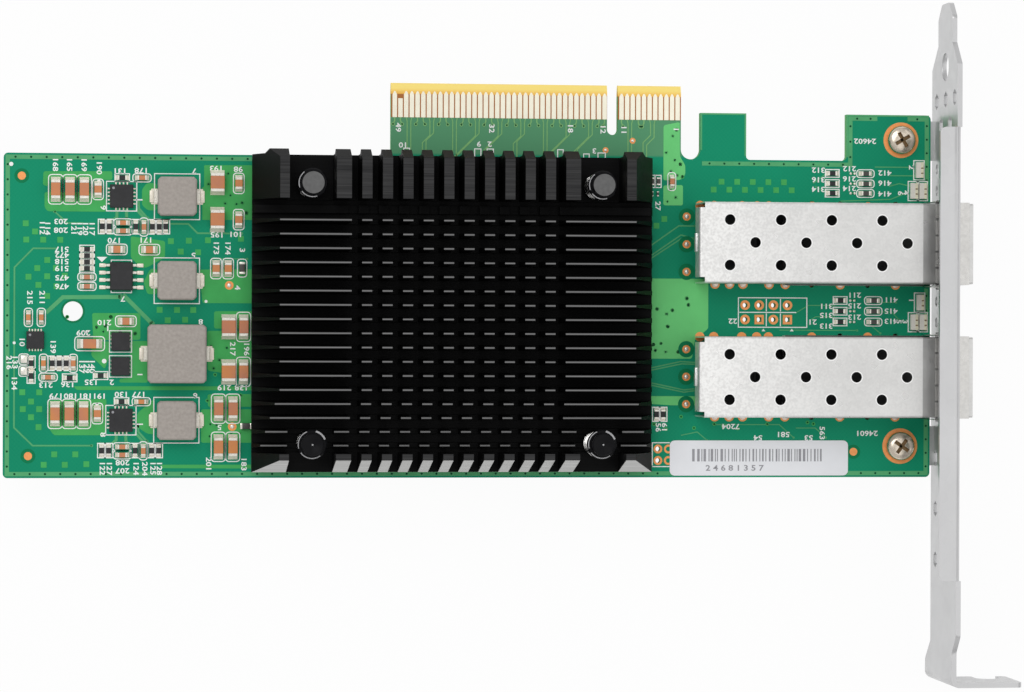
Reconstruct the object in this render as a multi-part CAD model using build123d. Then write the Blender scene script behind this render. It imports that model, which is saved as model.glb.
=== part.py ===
from build123d import *
import os

# Dual port network interface card: circuit board, finned heatsink, two module cages and bracket.
# Millimetres. Origin: contact edge, on the centre line of its key slot, on the component face.
# +X runs towards the bracket, +Y out of the contact edge, +Z out of the component face.

# Board outline
BOARD_THICK = 1.57
BOARD_LENGTH = 163.1
BOARD_END = 57.2            # key slot to the end beside the bracket
BOARD_HEIGHT = 68.9         # contact edge to the far long edge
SHOULDER_DROP = 12.85       # contact edge to the shoulder
LONG_TONGUE = 39.05         # key slot to the far end of the long contact tongue
SHORT_TONGUE = 12.2
KEY_WIDTH = 1.9
KEY_DEPTH = 8.7
LATCH_SLOT_WIDTH = 3.5
LATCH_TAB_WIDTH = 8.2
LATCH_TAB_DROP = 4.65       # contact edge to the top of the latch tab and end block
END_BLOCK_WIDTH = 15.25
CORNER_RADIUS = 0.8
EDGE_BEVEL_RUN = 1.4
EDGE_BEVEL_DEPTH = 0.45
TOOLING_HOLE_DIA = 3.4
TOOLING_HOLE_INSET = 11.9   # from the board's left edge
TOOLING_HOLE_RISE = 28.8    # from the board's far long edge

# Edge contacts
CONTACT_PITCH = 1.0
CONTACT_COUNT_SHORT = 11
CONTACT_COUNT_LONG = 38
CONTACT_KEY_GAP = 3.0       # centre to centre across the key slot
CONTACT_KEY_OFFSET = 1.6    # key slot to the first contact of the short tongue
CONTACT_WIDTH = 0.72
CONTACT_LENGTH = 4.4
CONTACT_SETBACK = 1.6
CONTACT_SHORT_CUT = 1.1     # how much shorter the presence contacts are
CONTACT_THICK = 0.05

# Heatsink
SINK_X = -28.45
SINK_Y = -40.35
SINK_LENGTH = 69.8
SINK_WIDTH = 54.8
SINK_UNDERSIDE = 2.5        # board face to the heatsink's base
SINK_BASE = 2.0             # base under the cross cuts
SINK_GROOVE = 0.5           # how much deeper the gaps between the fins are
SINK_TOP = 13.6
SINK_SIDE_BEVEL = 4.25      # how far the fin ends lean in
FIN_COUNT = 17
FIN_FIRST = 11.5            # heatsink's edge to the first thin fin
FIN_LAST = 4.66             # far edge to the last one
FIN_TIP = 0.4
FIN_ROOT = 0.9
FIN_STEPPED = 4             # fins at the far side that step down
FIN_STEP = 1.55
POST_DEPTH = 7.05           # thick row beside the contact edge
POST_NOSE = 0.75            # how far the thick row overhangs the base
POST_NOSE_DROP = 3.5
RIB_FROM_EDGE = 8.7
RIB_WIDTH = 1.4
RIB_HEIGHT = 0.9
WALL_TOP = 1.1              # thickness of the far wall at its top
WALL_LEAN = 2.3             # how far the far wall's outer face leans
CROSS_CUT_COUNT = 11
CROSS_CUT_PITCH = 3.507
CROSS_CUT_WIDTH = 1.76
POCKET_WIDTH = 8.0
POCKET_DEPTH = 8.15

# Push pins and their springs
PIN_INSET_X = 9.9           # heatsink's ends to the pins
PIN_INSET_Y = 5.075         # heatsink's sides to the pins
PIN_Y_OFFSET = -0.1
PIN_SHANK_RADIUS = 1.4
PIN_CLEARANCE = 0.15
PIN_CAP_RADIUS = 1.95
PIN_CAP_TOP = 14.0
PIN_CAP_HEIGHT = 1.8
PIN_FLANGE_RADIUS = 2.55
PIN_FLANGE_THICK = 0.8
PIN_BARB_RADIUS = 1.95
PIN_BARB_LENGTH = 2.0
PIN_SPLIT = 0.6
PIN_SIDES = 10
SPRING_WIRE = 0.5
SPRING_RADIUS = 2.1
SPRING_TURNS = 3
SPRING_TURN_SIDES = 6

# Controller package under the heatsink
CHIP_SIZE = 25.0
CHIP_BALL_HEIGHT = 0.45
CHIP_SUBSTRATE = 1.1
CHIP_LID_SIZE = 21.0
CHIP_LID_THICK = 0.7
CHIP_BALL_ROWS = 4
CHIP_BALL_PITCH = 6.5
CHIP_BALL_DIA = 0.7
PAD_SIZE = 20.0

# Module cages
CAGE_CENTRES = {"upper": -27.7, "lower": -51.1}
CAGE_INSET = 43.35          # board's end to the back of the cages
CAGE_LENGTH = 48.65
CAGE_WIDTH = 14.1
CAGE_HEIGHT = 9.8
CAGE_WALL = 0.25
CAGE_HOLE_DIA = 1.9
CAGE_HOLE_SIDES = 8
CAGE_HOLE_PITCH = 9.0
CAGE_HOLE_COUNT = 4
CAGE_HOLE_FIRST = 5.4       # back of the cage to the first hole of the outer rows
CAGE_HOLE_ROW = 3.95        # middle row to an outer row
CAGE_HOLE_STAGGER = 4.5
CAGE_RELIEF_LENGTH = 1.5
CAGE_RELIEF_WIDTH = 0.5
CAGE_BACK_GAP = 5.9         # height of the gap under the back wall
TRAY_START = 16.65          # back of the cage to where the tray's side walls begin
TRAY_RISE = 2.6
TRAY_SETBACK = 0.3          # tray's side walls to the collar's fingers
TRAY_LATCH_SIZE = 3.0
TRAY_LATCH_SETBACK = 4.2
CAGE_PIN_WIDTH = 0.6
CAGE_PIN_REACH = 2.2
CAGE_PIN_HOLE_DIA = 1.05
COVER_PINS = (4.45, 9.45, 14.25)            # back of the cage to the cover's legs
TRAY_PINS = (21.95, 27.05, 32.05, 37.05)

# Spring collar round each cage's mouth
COLLAR_THICK = 0.15
COLLAR_SETBACK = 1.6        # plate's inner face to the collar's band
COLLAR_BAND_WIDTH = 1.8
COLLAR_FINGER_REACH = 2.7   # plate's inner face to the tips of the fingers
COLLAR_RISE = 0.45
COLLAR_FINGERS_WIDE = 5
COLLAR_FINGERS_TALL = 3
COLLAR_FINGER_GAP = 0.35
COLLAR_BOARD_GAP = 0.4      # lower fingers to the end of the board

# Connector in each cage
PORT_BODY_SETBACK = 1.55    # back of the cage to the connector
PORT_BODY_LENGTH = 9.3
PORT_BODY_WIDTH = 11.4
PORT_BODY_HEIGHT = 6.4
PORT_SLOT_WIDTH = 9.3
PORT_SLOT_HEIGHT = 1.7
PORT_SLOT_DEPTH = 6.0
PORT_SLOT_FLOOR = 2.9
PORT_CONTACTS = 10
PORT_CONTACT_PITCH = 0.8
PORT_CONTACT_WIDTH = 0.35
PORT_CONTACT_THICK = 0.2

# Bracket
PLATE_GAP = 1.2             # board's end to the plate
PLATE_THICK = 0.86
PLATE_WIDTH = 18.42
PLATE_LOW = -3.8
PLATE_HEIGHT = 120.02
TONGUE_REACH = 14.7         # contact edge to the tip of the tongue
TONGUE_WIDTH = 10.19
TONGUE_LOW = 0.6
TONGUE_ROOT = 7.5
TONGUE_TIP_CUT = 2.6
TAPER_ROOT = 3.5
TONGUE_HOLE_DIA = 4.9
TONGUE_HOLE_Y = 3.55
TAB_REACH = 11.9
TAB_LOW = -7.7
TAB_WIDTH = 19.5
FLARE_START = 7.12          # foot of the plate to the start of the flare
FLARE_END = 3.52
FLARE_TOP_START = 9.22
FLARE_TOP_END = 6.22
TAB_STEP = 1.2              # plate to where the tab narrows
TAB_STEP_LOW = -0.5
TAB_NOTCH_WIDTH = 4.42
TAB_NOTCH_DEPTH = 4.9
TAB_NOTCH_SETBACK = 3.9     # end of the tab to the middle of its notch
BEND_RADIUS = 0.5
LIP_REACH = 3.0
LIP_START = -7.5
LIP_FOOT_GAP = 18.87        # foot of the plate to the end of the lip
LIP_CORNER = 1.2
WINDOW_CLEARANCE = 0.9      # each side of a cage
WINDOW_CORNER = 0.6
LIGHT_HOLE_DIA = 1.8
LIGHT_HOLE_Z = -0.2
LIGHT_HOLES_Y = (-14.2, -18.0, -37.7, -41.4)
VENT_SIZE = 2.9             # across corners
VENT_LOW = -0.4
VENT_PITCH_Z = 6.45
VENT_PITCH_Y = 4.52
VENT_FIRST_TOP = -2.2
VENT_FIRST_LOW = -65.5
EAR_WIDTH = 7.0
EAR_REACH = 10.4

# Bracket screws
SCREW_INSET = 5.4           # board's end to the screws
SCREWS_Y = (-9.1, -63.4)
SCREW_HEAD_RADIUS = 2.55
SCREW_HEAD_HEIGHT = 1.7
SCREW_SHANK_DIA = 2.8
SCREW_CLEARANCE = 0.4       # shank to the board's hole, on the diameter
SCREW_TIP = 0.9             # how far the shank passes the ear
SCREW_HEAD_CHAMFER = 0.6

# Small parts: length, width, height and length of each metal end
CAP_WIDE = (3.2, 2.4, 1.8, 0.5)
CAP_LARGE = (3.2, 1.6, 1.6, 0.5)
CAP_MEDIUM = (2.0, 1.25, 1.0, 0.4)
CAP_SMALL = (1.6, 0.8, 0.8, 0.3)
RESISTOR = (1.6, 0.8, 0.45, 0.3)
FERRITE = (1.6, 0.8, 0.7, 0.3)

# Power stages: a regulator with its coil, capacitors and resistors, built twice
STAGE_X = -85.7
STAGES_Y = (-20.2, -58.9)
STAGE_COIL_DX = 9.55
STAGE_CAPS_LARGE = ((-11.3, 1.1), (-8.85, 1.1), (-6.4, 1.1))
STAGE_CAPS_MEDIUM = ((-4.05, 1.15),)
STAGE_CAPS_FLAT = ((3.5, 3.2), (0.25, -4.6), (0.25, -6.0))
STAGE_CAPS_UPRIGHT = ((3.85, -5.3),)
STAGE_RESISTORS_FLAT = ((0.1, 3.2),)
STAGE_RESISTORS_UPRIGHT = ((-3.3, -5.25), (-2.1, -5.25), (2.45, -5.25), (5.3, -5.25), (6.5, -5.25))
REGULATOR_SIZE = 4.0
REGULATOR_HEIGHT = 0.85
SUPERVISOR_SIZE = 3.0
SUPERVISOR_PLACE = (-100.4, -45.1)
DRIVER_PLACE = (-85.7, -34.05)
DRIVER_WIDTH = 3.9
DRIVER_LENGTH = 4.9
DRIVER_HEIGHT = 1.45
DRIVER_STANDOFF = 0.12
DRIVER_LEADS = 4
DRIVER_LEAD_PITCH = 1.27
DRIVER_LEAD_WIDTH = 0.42
DRIVER_LEAD_THICK = 0.2
DRIVER_LEAD_REACH = 1.05
SWITCH_X = -85.8
SWITCHES_Y = (-45.3, -49.6)
SWITCH_SIZE = 3.2
SWITCH_HEIGHT = 0.95
SWITCH_PADS = 4
SWITCH_PAD_PITCH = 0.65
SWITCH_PAD_THICK = 0.1
SWITCH_PAD_REACH = 0.35
COIL_MID_Y = -34.75
COIL_SIZE = 6.7
COIL_HEIGHT = 2.9
COIL_LARGE_Y = -47.4
COIL_LARGE_SIZE = 10.1
COIL_LARGE_HEIGHT = 3.9
COIL_CORNER = 0.5
COIL_LEAD_REACH = 0.95
COIL_LEAD_WIDTH = 2.3
COIL_LEAD_THICK = 0.25
COIL_LEAD_RISE = 0.9

CAPS_WIDE_UPRIGHT = ((-69.2, -17.7), (-69.2, -24.1), (-67.2, -42.7), (-67.2, -50.5))
CAPS_LARGE_UPRIGHT = ((-68.9, -56.9), (-66.4, -56.9), (-68.9, -63.5), (-66.4, -63.5),
                      (-64.6, -42.7), (-64.6, -50.5))
CAPS_LARGE_FLAT = ((-91.1, -45.7),)
CAPS_MEDIUM_UPRIGHT = ((-65.5, -17.8), (-65.5, -24.1), (-69.4, -32.6), (-67.3, -32.6))
CAPS_MEDIUM_FLAT = ((-86.5, -29.4), (-80.9, -29.4), (-84.9, -41.8))
CAPS_SMALL_UPRIGHT = ((-101.6, -41.2), (-99.4, -41.2), (-99.0, -49.1), (-93.9, -49.1), (10.6, -16.8))
CAPS_SMALL_FLAT = ((-98.2, -51.5), (-91.6, -34.2), (-91.6, -35.8))
RESISTORS_UPRIGHT = ((-78.1, -25.4), (-101.1, -49.1), (-101.1, -51.3), (-97.5, -49.1), (-96.3, -49.1),
                     (-95.1, -49.1))
RESISTORS_FLAT = ((-91.6, -29.4), (-91.6, -30.5), (-91.6, -31.6), (-91.6, -32.7), (-94.5, -51.6),
                  (-89.2, -51.2))
RESISTORS_BEHIND_CAGE = ((-5.85, -57.8), (-4.65, -57.8))        # X from the back of the cages
LAMP_ROWS_INSET = (17.8, 16.3)      # board's end to the resistors that feed each port's lamps
LAMP_FERRITE_DX = 6.0
LAMP_PARTS_Y = ((-15.1, -16.9, -18.6), (-37.6, -39.5, -41.4))
LAMP_SIZE = (1.3, 2.8, 0.9)
LAMP_WINDOW = 0.5
LAMP_PLACES = ((-2.1, -14.4), (-3.1, -18.1), (-1.5, -18.1), (-1.9, -37.9), (-3.0, -41.4),
               (-1.4, -41.4))       # X from the board's end

# Unfitted pin headers: plated holes only
HEADER_HOLE_DIA = 1.0
SMALL_HOLE_SIDES = 6
SMALL_HOLE_LIMIT = 2.0      # holes below this diameter get few sides
HEADER_PITCH = 2.54
HEADER_COLUMNS = 4
HEADER_SETBACK = 9.95       # back of the cages to the header
HEADER_Y = -38.5
SIDE_HEADER_X = 8.3
SIDE_HEADER_Y = -63.9

# Label
LABEL_SIZE = (32.0, 6.2)
LABEL_INSET = 30.8          # board's end to the middle of the label
LABEL_RISE = 3.4            # board's far long edge to the middle of the label
LABEL_THICK = 0.12
LABEL_CORNER = 0.9

board_left = BOARD_END - BOARD_LENGTH
cage_back = BOARD_END - CAGE_INSET
cage_front = cage_back + CAGE_LENGTH
plate_inner = BOARD_END + PLATE_GAP
plate_outer = plate_inner + PLATE_THICK
plate_top = PLATE_LOW + PLATE_WIDTH
coil_x = STAGE_X + STAGE_COIL_DX
tab_outer = TONGUE_REACH - PLATE_HEIGHT
lip_end = tab_outer + LIP_FOOT_GAP
collar_start = plate_inner + COLLAR_SETBACK
collar_tip = plate_inner - COLLAR_FINGER_REACH
port_start = cage_back + PORT_BODY_SETBACK
screw_x = BOARD_END - SCREW_INSET
label_place = (BOARD_END - LABEL_INSET, LABEL_RISE - BOARD_HEIGHT)
sink_edge = SINK_Y + SINK_WIDTH / 2
sink_base_top = SINK_UNDERSIDE + SINK_BASE
fin_pitch = (SINK_WIDTH - FIN_FIRST - FIN_LAST) / (FIN_COUNT - 1)
pin_flange_low = PIN_CAP_TOP - PIN_CAP_HEIGHT - PIN_FLANGE_THICK
pin_places = [(SINK_X + sx * (SINK_LENGTH / 2 - PIN_INSET_X),
               SINK_Y + PIN_Y_OFFSET + sy * (SINK_WIDTH / 2 - PIN_INSET_Y))
              for sx in (-1, 1) for sy in (-1, 1)]
ear_top = -BOARD_THICK
pin_hole_radius = PIN_SHANK_RADIUS + PIN_CLEARANCE
chip_top = CHIP_BALL_HEIGHT + CHIP_SUBSTRATE + CHIP_LID_THICK


def block(x, y, z):
    """Box between the two ends given for each axis."""
    size = [b - a for a, b in (x, y, z)]
    centre = [(a + b) / 2 for a, b in (x, y, z)]
    return Pos(*centre) * Box(*size)


def slab(place, length, width, low, high):
    """Box centred on a place of the board, from one height to another."""
    return block((place[0] - length / 2, place[0] + length / 2),
                 (place[1] - width / 2, place[1] + width / 2), (low, high))


def drum(place, radius, low, high):
    """Upright cylinder on a place of the board."""
    return Pos(place[0], place[1], (low + high) / 2) * Cylinder(radius, high - low)


def side_profile(points, start, end):
    """Outline drawn in Y and Z, extruded along X from start to end."""
    face = make_face(Plane.YZ * Polyline(*points, close=True))
    return Pos(start, 0, 0) * extrude(face, amount=end - start, dir=(1, 0, 0))


def front_profile(points, start, end):
    """Outline drawn in X and Z, extruded along Y from start to end."""
    face = make_face(Polyline(*[(x, 0, z) for x, z in points], close=True))
    return Pos(0, start, 0) * extrude(face, amount=end - start, dir=(0, 1, 0))


def save(name, solids):
    """Write one sub-part: a solid or a group of separate solids."""
    shape = Compound(children=list(solids)) if isinstance(solids, (list, tuple)) else solids
    export_step(shape, f"parts/{name}.step")


def board_outline():
    """Board seen from its component side, with tongues, key slot, latch tab and end block."""
    body = Pos((board_left + BOARD_END) / 2, -(SHOULDER_DROP + BOARD_HEIGHT) / 2) * Rectangle(
        BOARD_LENGTH, BOARD_HEIGHT - SHOULDER_DROP)
    latch_left = SHORT_TONGUE + LATCH_SLOT_WIDTH
    raised = [(-LONG_TONGUE, SHORT_TONGUE, 0), (latch_left, latch_left + LATCH_TAB_WIDTH, -LATCH_TAB_DROP),
              (BOARD_END - END_BLOCK_WIDTH, BOARD_END, -LATCH_TAB_DROP)]
    for left, right, top in raised:
        height = SHOULDER_DROP + top + CORNER_RADIUS
        body += Pos((left + right) / 2, top - height / 2) * Rectangle(right - left, height)
    key = Pos(0, -KEY_DEPTH / 2) * (Rectangle(KEY_WIDTH, KEY_DEPTH - KEY_WIDTH)
                                    + Pos(0, -KEY_DEPTH / 2 + KEY_WIDTH / 2) * Circle(KEY_WIDTH / 2))
    key += Pos(0, -KEY_WIDTH) * Rectangle(KEY_WIDTH, 2 * KEY_WIDTH)
    latch_x = SHORT_TONGUE + LATCH_SLOT_WIDTH / 2
    latch = Pos(latch_x, -SHOULDER_DROP + LATCH_SLOT_WIDTH / 2) * Circle(LATCH_SLOT_WIDTH / 2)
    latch += Pos(latch_x, (LATCH_SLOT_WIDTH / 2 - SHOULDER_DROP) / 2) * Rectangle(
        LATCH_SLOT_WIDTH, SHOULDER_DROP - LATCH_SLOT_WIDTH / 2)
    return body - key - latch


def board_holes():
    """Every hole through the board, as (place, diameter)."""
    holes = [((board_left + TOOLING_HOLE_INSET, TOOLING_HOLE_RISE - BOARD_HEIGHT), TOOLING_HOLE_DIA)]
    holes += [(place, 2 * pin_hole_radius) for place in pin_places]
    holes += [((screw_x, y), SCREW_SHANK_DIA + SCREW_CLEARANCE) for y in SCREWS_Y]
    holes += [((cage_back + HEADER_SETBACK + HEADER_PITCH * i, HEADER_Y - HEADER_PITCH * j), HEADER_HOLE_DIA)
              for i in range(HEADER_COLUMNS) for j in range(2)]
    holes += [((SIDE_HEADER_X, SIDE_HEADER_Y - HEADER_PITCH * 0.8 * j), HEADER_HOLE_DIA) for j in range(2)]
    for centre in CAGE_CENTRES.values():
        holes += [((x, centre + side * offset), CAGE_PIN_HOLE_DIA)
                  for x, side, offset in cage_pin_places()]
    return holes


def hole_face(dia):
    """Flat outline of a hole: round, or with few sides where it is small and repeats."""
    if dia < SMALL_HOLE_LIMIT:
        return RegularPolygon(dia / 2, SMALL_HOLE_SIDES)
    return Circle(dia / 2)


def cage_pin_places():
    """Cage legs as (x, side, distance from the cage's middle)."""
    cover = [(cage_back + x, side, (CAGE_WIDTH - CAGE_WALL) / 2) for x in COVER_PINS for side in (-1, 1)]
    tray = [(cage_back + x, side, (CAGE_WIDTH + CAGE_WALL) / 2) for x in TRAY_PINS for side in (-1, 1)]
    return cover + tray


def make_board():
    """Circuit board with its bevelled contact edge and its holes."""
    outline = board_outline()
    sharp = [v for v in outline.vertices()
             if abs(v.X - board_left) < 0.01 or abs(v.X - BOARD_END) < 0.01]
    outline = fillet(sharp, CORNER_RADIUS)
    for place, dia in board_holes():
        outline -= Pos(*place) * hole_face(dia)
    board = extrude(outline, amount=-BOARD_THICK)
    for face, depth in ((0, -EDGE_BEVEL_DEPTH), (-BOARD_THICK, EDGE_BEVEL_DEPTH)):
        wedge = [(0, face), (0, face + depth), (-EDGE_BEVEL_RUN, face)]
        board -= side_profile(wedge, -LONG_TONGUE, SHORT_TONGUE)
    return board


def edge_contacts(low, high, short_ones):
    """Row of gold contacts on one face; short_ones are the presence contacts."""
    strips = []
    first = CONTACT_KEY_OFFSET
    places = [first + CONTACT_PITCH * i for i in range(CONTACT_COUNT_SHORT)]
    places += [first - CONTACT_KEY_GAP - CONTACT_PITCH * i for i in range(CONTACT_COUNT_LONG)]
    ordered = sorted(places)
    for number, x in enumerate(ordered):
        top = -CONTACT_SETBACK - (CONTACT_SHORT_CUT if number in short_ones else 0)
        end = -CONTACT_SETBACK - CONTACT_LENGTH
        strips.append(block((x - CONTACT_WIDTH / 2, x + CONTACT_WIDTH / 2), (end, top), (low, high)))
    return strips


def sink_profile():
    """Closed outline of the heatsink in Y and Z, from the contact side to the far side."""
    far = sink_edge - SINK_WIDTH
    floor = sink_base_top - SINK_GROOVE
    post_outer = sink_edge - POST_NOSE
    points = [(sink_edge, SINK_UNDERSIDE), (sink_edge, SINK_TOP - POST_NOSE_DROP - 2 * POST_NOSE),
              (sink_edge + POST_NOSE, SINK_TOP - POST_NOSE_DROP), (post_outer, SINK_TOP),
              (post_outer - POST_DEPTH, SINK_TOP), (post_outer - POST_DEPTH, floor)]
    rib = sink_edge - RIB_FROM_EDGE
    points += [(rib, floor), (rib, sink_base_top + RIB_HEIGHT),
               (rib - RIB_WIDTH, sink_base_top + RIB_HEIGHT), (rib - RIB_WIDTH, floor)]
    for n in range(FIN_COUNT):
        y = sink_edge - FIN_FIRST - fin_pitch * n
        top = SINK_TOP - FIN_STEP * max(0, n - (FIN_COUNT - FIN_STEPPED) + 1)
        points += [(y + FIN_ROOT / 2, floor), (y + FIN_TIP / 2, top),
                   (y - FIN_TIP / 2, top), (y - FIN_ROOT / 2, floor)]
    points += [(far + WALL_LEAN + WALL_TOP, floor), (far + WALL_LEAN + WALL_TOP, SINK_TOP),
               (far + WALL_LEAN, SINK_TOP), (far, sink_base_top), (far, SINK_UNDERSIDE)]
    return points


def make_heatsink():
    """Extruded fins, cross-cut into posts, with bevelled ends, pin pockets and pin holes."""
    left, right = SINK_X - SINK_LENGTH / 2, SINK_X + SINK_LENGTH / 2
    far = sink_edge - SINK_WIDTH
    sink = side_profile(sink_profile(), left, right)
    near, back = sink_edge + 2 * POST_NOSE, far - 1
    middle = (CROSS_CUT_COUNT - 1) / 2
    cuts = []
    for n in range(CROSS_CUT_COUNT):
        x = SINK_X + CROSS_CUT_PITCH * (n - middle)
        cuts.append(block((x - CROSS_CUT_WIDTH / 2, x + CROSS_CUT_WIDTH / 2), (back, near),
                          (sink_base_top, SINK_TOP + 1)))
    for x, y in pin_places:
        span = (sink_edge - POCKET_DEPTH, near) if y > SINK_Y else (back, far + POCKET_DEPTH)
        cuts.append(block((x - POCKET_WIDTH / 2, x + POCKET_WIDTH / 2), span,
                          (sink_base_top, SINK_TOP + 1)))
        cuts.append(drum((x, y), pin_hole_radius, SINK_UNDERSIDE - 1, sink_base_top + 1))
    for end, inward in ((left, 1), (right, -1)):
        wedge = [(end, sink_base_top), (end + inward * SINK_SIDE_BEVEL, SINK_TOP),
                 (end + inward * SINK_SIDE_BEVEL, SINK_TOP + 1), (end - inward, SINK_TOP + 1),
                 (end - inward, sink_base_top)]
        cuts.append(front_profile(wedge, back, near))
    return sink - cuts


def frustum(low_radius, high_radius, low, high):
    """Upright turned piece with few sides, straight or tapered."""
    ends = [Pos(0, 0, z) * RegularPolygon(radius, PIN_SIDES)
            for z, radius in ((low, low_radius), (high, high_radius))]
    return loft(ends)


def push_pin(place):
    """Plastic pin: cap, flange, shank, and a split barb under the board."""
    flange_top = pin_flange_low + PIN_FLANGE_THICK
    barb_top = -BOARD_THICK - PIN_CLEARANCE
    barb_end = barb_top - PIN_BARB_LENGTH
    pin = frustum(PIN_SHANK_RADIUS, PIN_SHANK_RADIUS, barb_end, pin_flange_low)
    pin += frustum(PIN_FLANGE_RADIUS, PIN_FLANGE_RADIUS, pin_flange_low, flange_top)
    pin += frustum(PIN_CAP_RADIUS, PIN_CAP_RADIUS, flange_top, PIN_CAP_TOP)
    pin += frustum(PIN_SHANK_RADIUS / 2, PIN_BARB_RADIUS, barb_end, barb_top)
    split = block((-PIN_SPLIT / 2, PIN_SPLIT / 2), (-PIN_BARB_RADIUS, PIN_BARB_RADIUS),
                  (barb_end, barb_top + BOARD_THICK))
    return Pos(place[0], place[1], 0) * (pin - split)


def pin_spring(place):
    """Coil spring between the heatsink's base and the pin's flange."""
    height = pin_flange_low - sink_base_top - SPRING_WIRE
    helix = Helix(pitch=height / SPRING_TURNS, height=height, radius=SPRING_RADIUS)
    steps = SPRING_TURNS * SPRING_TURN_SIDES
    path = Polyline(*[helix @ (n / steps) for n in range(steps + 1)])
    section = Plane(origin=path @ 0, z_dir=path % 0) * RegularPolygon(SPRING_WIRE / 2, 4)
    coil = sweep(section, path=path, transition=Transition.RIGHT)
    return Pos(place[0], place[1], sink_base_top + SPRING_WIRE / 2) * coil


def controller_balls():
    """Solder joints under the controller, as a coarse square grid."""
    middle = (CHIP_BALL_ROWS - 1) / 2
    ball = extrude(RegularPolygon(CHIP_BALL_DIA / 2, 6), amount=CHIP_BALL_HEIGHT)
    return [Pos(SINK_X + CHIP_BALL_PITCH * (i - middle), SINK_Y + CHIP_BALL_PITCH * (j - middle), 0) * ball
            for i in range(CHIP_BALL_ROWS) for j in range(CHIP_BALL_ROWS)]


def cage_cover(centre):
    """Folded top, sides and back of a module cage, with its vent holes and legs."""
    half = CAGE_WIDTH / 2
    shell = block((cage_back, cage_front), (-half, half), (0, CAGE_HEIGHT))
    shell = fillet(shell.edges().filter_by(Axis.X).group_by(Axis.Z)[-1], CAGE_WALL * 1.5)
    shell -= block((cage_back + CAGE_WALL, cage_front + 1), (CAGE_WALL - half, half - CAGE_WALL),
                   (-1, CAGE_HEIGHT - CAGE_WALL))
    shell -= block((cage_back - 1, cage_back + 1), (-PORT_BODY_WIDTH / 2, PORT_BODY_WIDTH / 2),
                   (-1, CAGE_BACK_GAP))
    for row in (-1, 0, 1):
        for n in range(CAGE_HOLE_COUNT):
            x = cage_back + CAGE_HOLE_FIRST + CAGE_HOLE_PITCH * n + (0 if row else CAGE_HOLE_STAGGER)
            vent = RegularPolygon(CAGE_HOLE_DIA / 2, CAGE_HOLE_SIDES)
            shell -= extrude(Pos(x, row * CAGE_HOLE_ROW, CAGE_HEIGHT - 1) * vent, amount=2)
    for side in (-1, 1):
        corner = side * (half - CAGE_WALL - CAGE_RELIEF_WIDTH / 2)
        shell -= slab((cage_back + CAGE_RELIEF_LENGTH / 2, corner), CAGE_RELIEF_LENGTH, CAGE_RELIEF_WIDTH,
                      CAGE_HEIGHT - CAGE_WALL * 2, CAGE_HEIGHT + 1)
    shell -= block((cage_back + TRAY_START, cage_front + 1), (-half - 1, half + 1), (-1, CAGE_WALL))
    for x in COVER_PINS:
        for side in (-1, 1):
            leg = (cage_back + x, side * (half - CAGE_WALL / 2))
            shell += slab(leg, CAGE_PIN_WIDTH, CAGE_WALL, -CAGE_PIN_REACH, 1)
    return Pos(0, centre, 0) * shell


def cage_tray(centre):
    """Floor of a module cage, folded up outside the cover, with its latch hole and legs."""
    inner = CAGE_WIDTH / 2
    outer = inner + CAGE_WALL
    start, walls_end = cage_back + TRAY_START, collar_tip - TRAY_SETBACK
    tray = block((start, walls_end), (-outer, outer), (0, TRAY_RISE))
    tray -= block((start - 1, walls_end + 1), (-inner, inner), (CAGE_WALL, TRAY_RISE + 1))
    tray += block((walls_end, cage_front), (-inner, inner), (0, CAGE_WALL))
    latch = Pos(cage_front - TRAY_LATCH_SETBACK, 0, -1) * RegularPolygon(TRAY_LATCH_SIZE / 2, 3)
    tray -= extrude(latch, amount=2)
    for side in (-1, 1):
        for x in TRAY_PINS:
            leg = (cage_back + x, side * (inner + CAGE_WALL / 2))
            tray += slab(leg, CAGE_PIN_WIDTH, CAGE_WALL, -CAGE_PIN_REACH, 1)
    return Pos(0, centre, 0) * tray


def collar_finger(width, tip):
    """Spring finger that rises from the collar's band and comes down again at its tip."""
    peak = (collar_start + tip) / 2
    t = COLLAR_THICK
    points = [(collar_start + t, 0), (peak, COLLAR_RISE), (tip, COLLAR_RISE / 2),
              (tip, COLLAR_RISE / 2 + t), (peak, COLLAR_RISE + t), (collar_start + t, t)]
    return front_profile(points, -width / 2, width / 2)


def spring_collar(centre):
    """Spring band round a cage's mouth, with fingers on its four sides."""
    half_y = CAGE_WIDTH / 2 + COLLAR_THICK
    low, high = -COLLAR_THICK, CAGE_HEIGHT + COLLAR_THICK
    span = (collar_start, collar_start + COLLAR_BAND_WIDTH)
    band = block(span, (-half_y, half_y), (low, high))
    band -= block((span[0] - 1, span[1] + 1), (-CAGE_WIDTH / 2, CAGE_WIDTH / 2), (0, CAGE_HEIGHT))
    middle = CAGE_HEIGHT / 2
    low_tip = BOARD_END + COLLAR_BOARD_GAP
    sides = ((COLLAR_FINGERS_WIDE, CAGE_WIDTH, middle, 0, collar_tip),
             (COLLAR_FINGERS_WIDE, CAGE_WIDTH, middle, 180, low_tip),
             (COLLAR_FINGERS_TALL, CAGE_HEIGHT, CAGE_WIDTH / 2, 90, collar_tip),
             (COLLAR_FINGERS_TALL, CAGE_HEIGHT, CAGE_WIDTH / 2, 270, collar_tip))
    for count, size, reach, turn, tip in sides:
        pitch = size / count
        for n in range(count):
            offset = pitch * (n - (count - 1) / 2)
            finger = Pos(0, offset, reach) * collar_finger(pitch - COLLAR_FINGER_GAP, tip)
            band += Pos(0, 0, middle) * Rot(turn, 0, 0) * finger
    return Pos(0, centre, 0) * band


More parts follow.
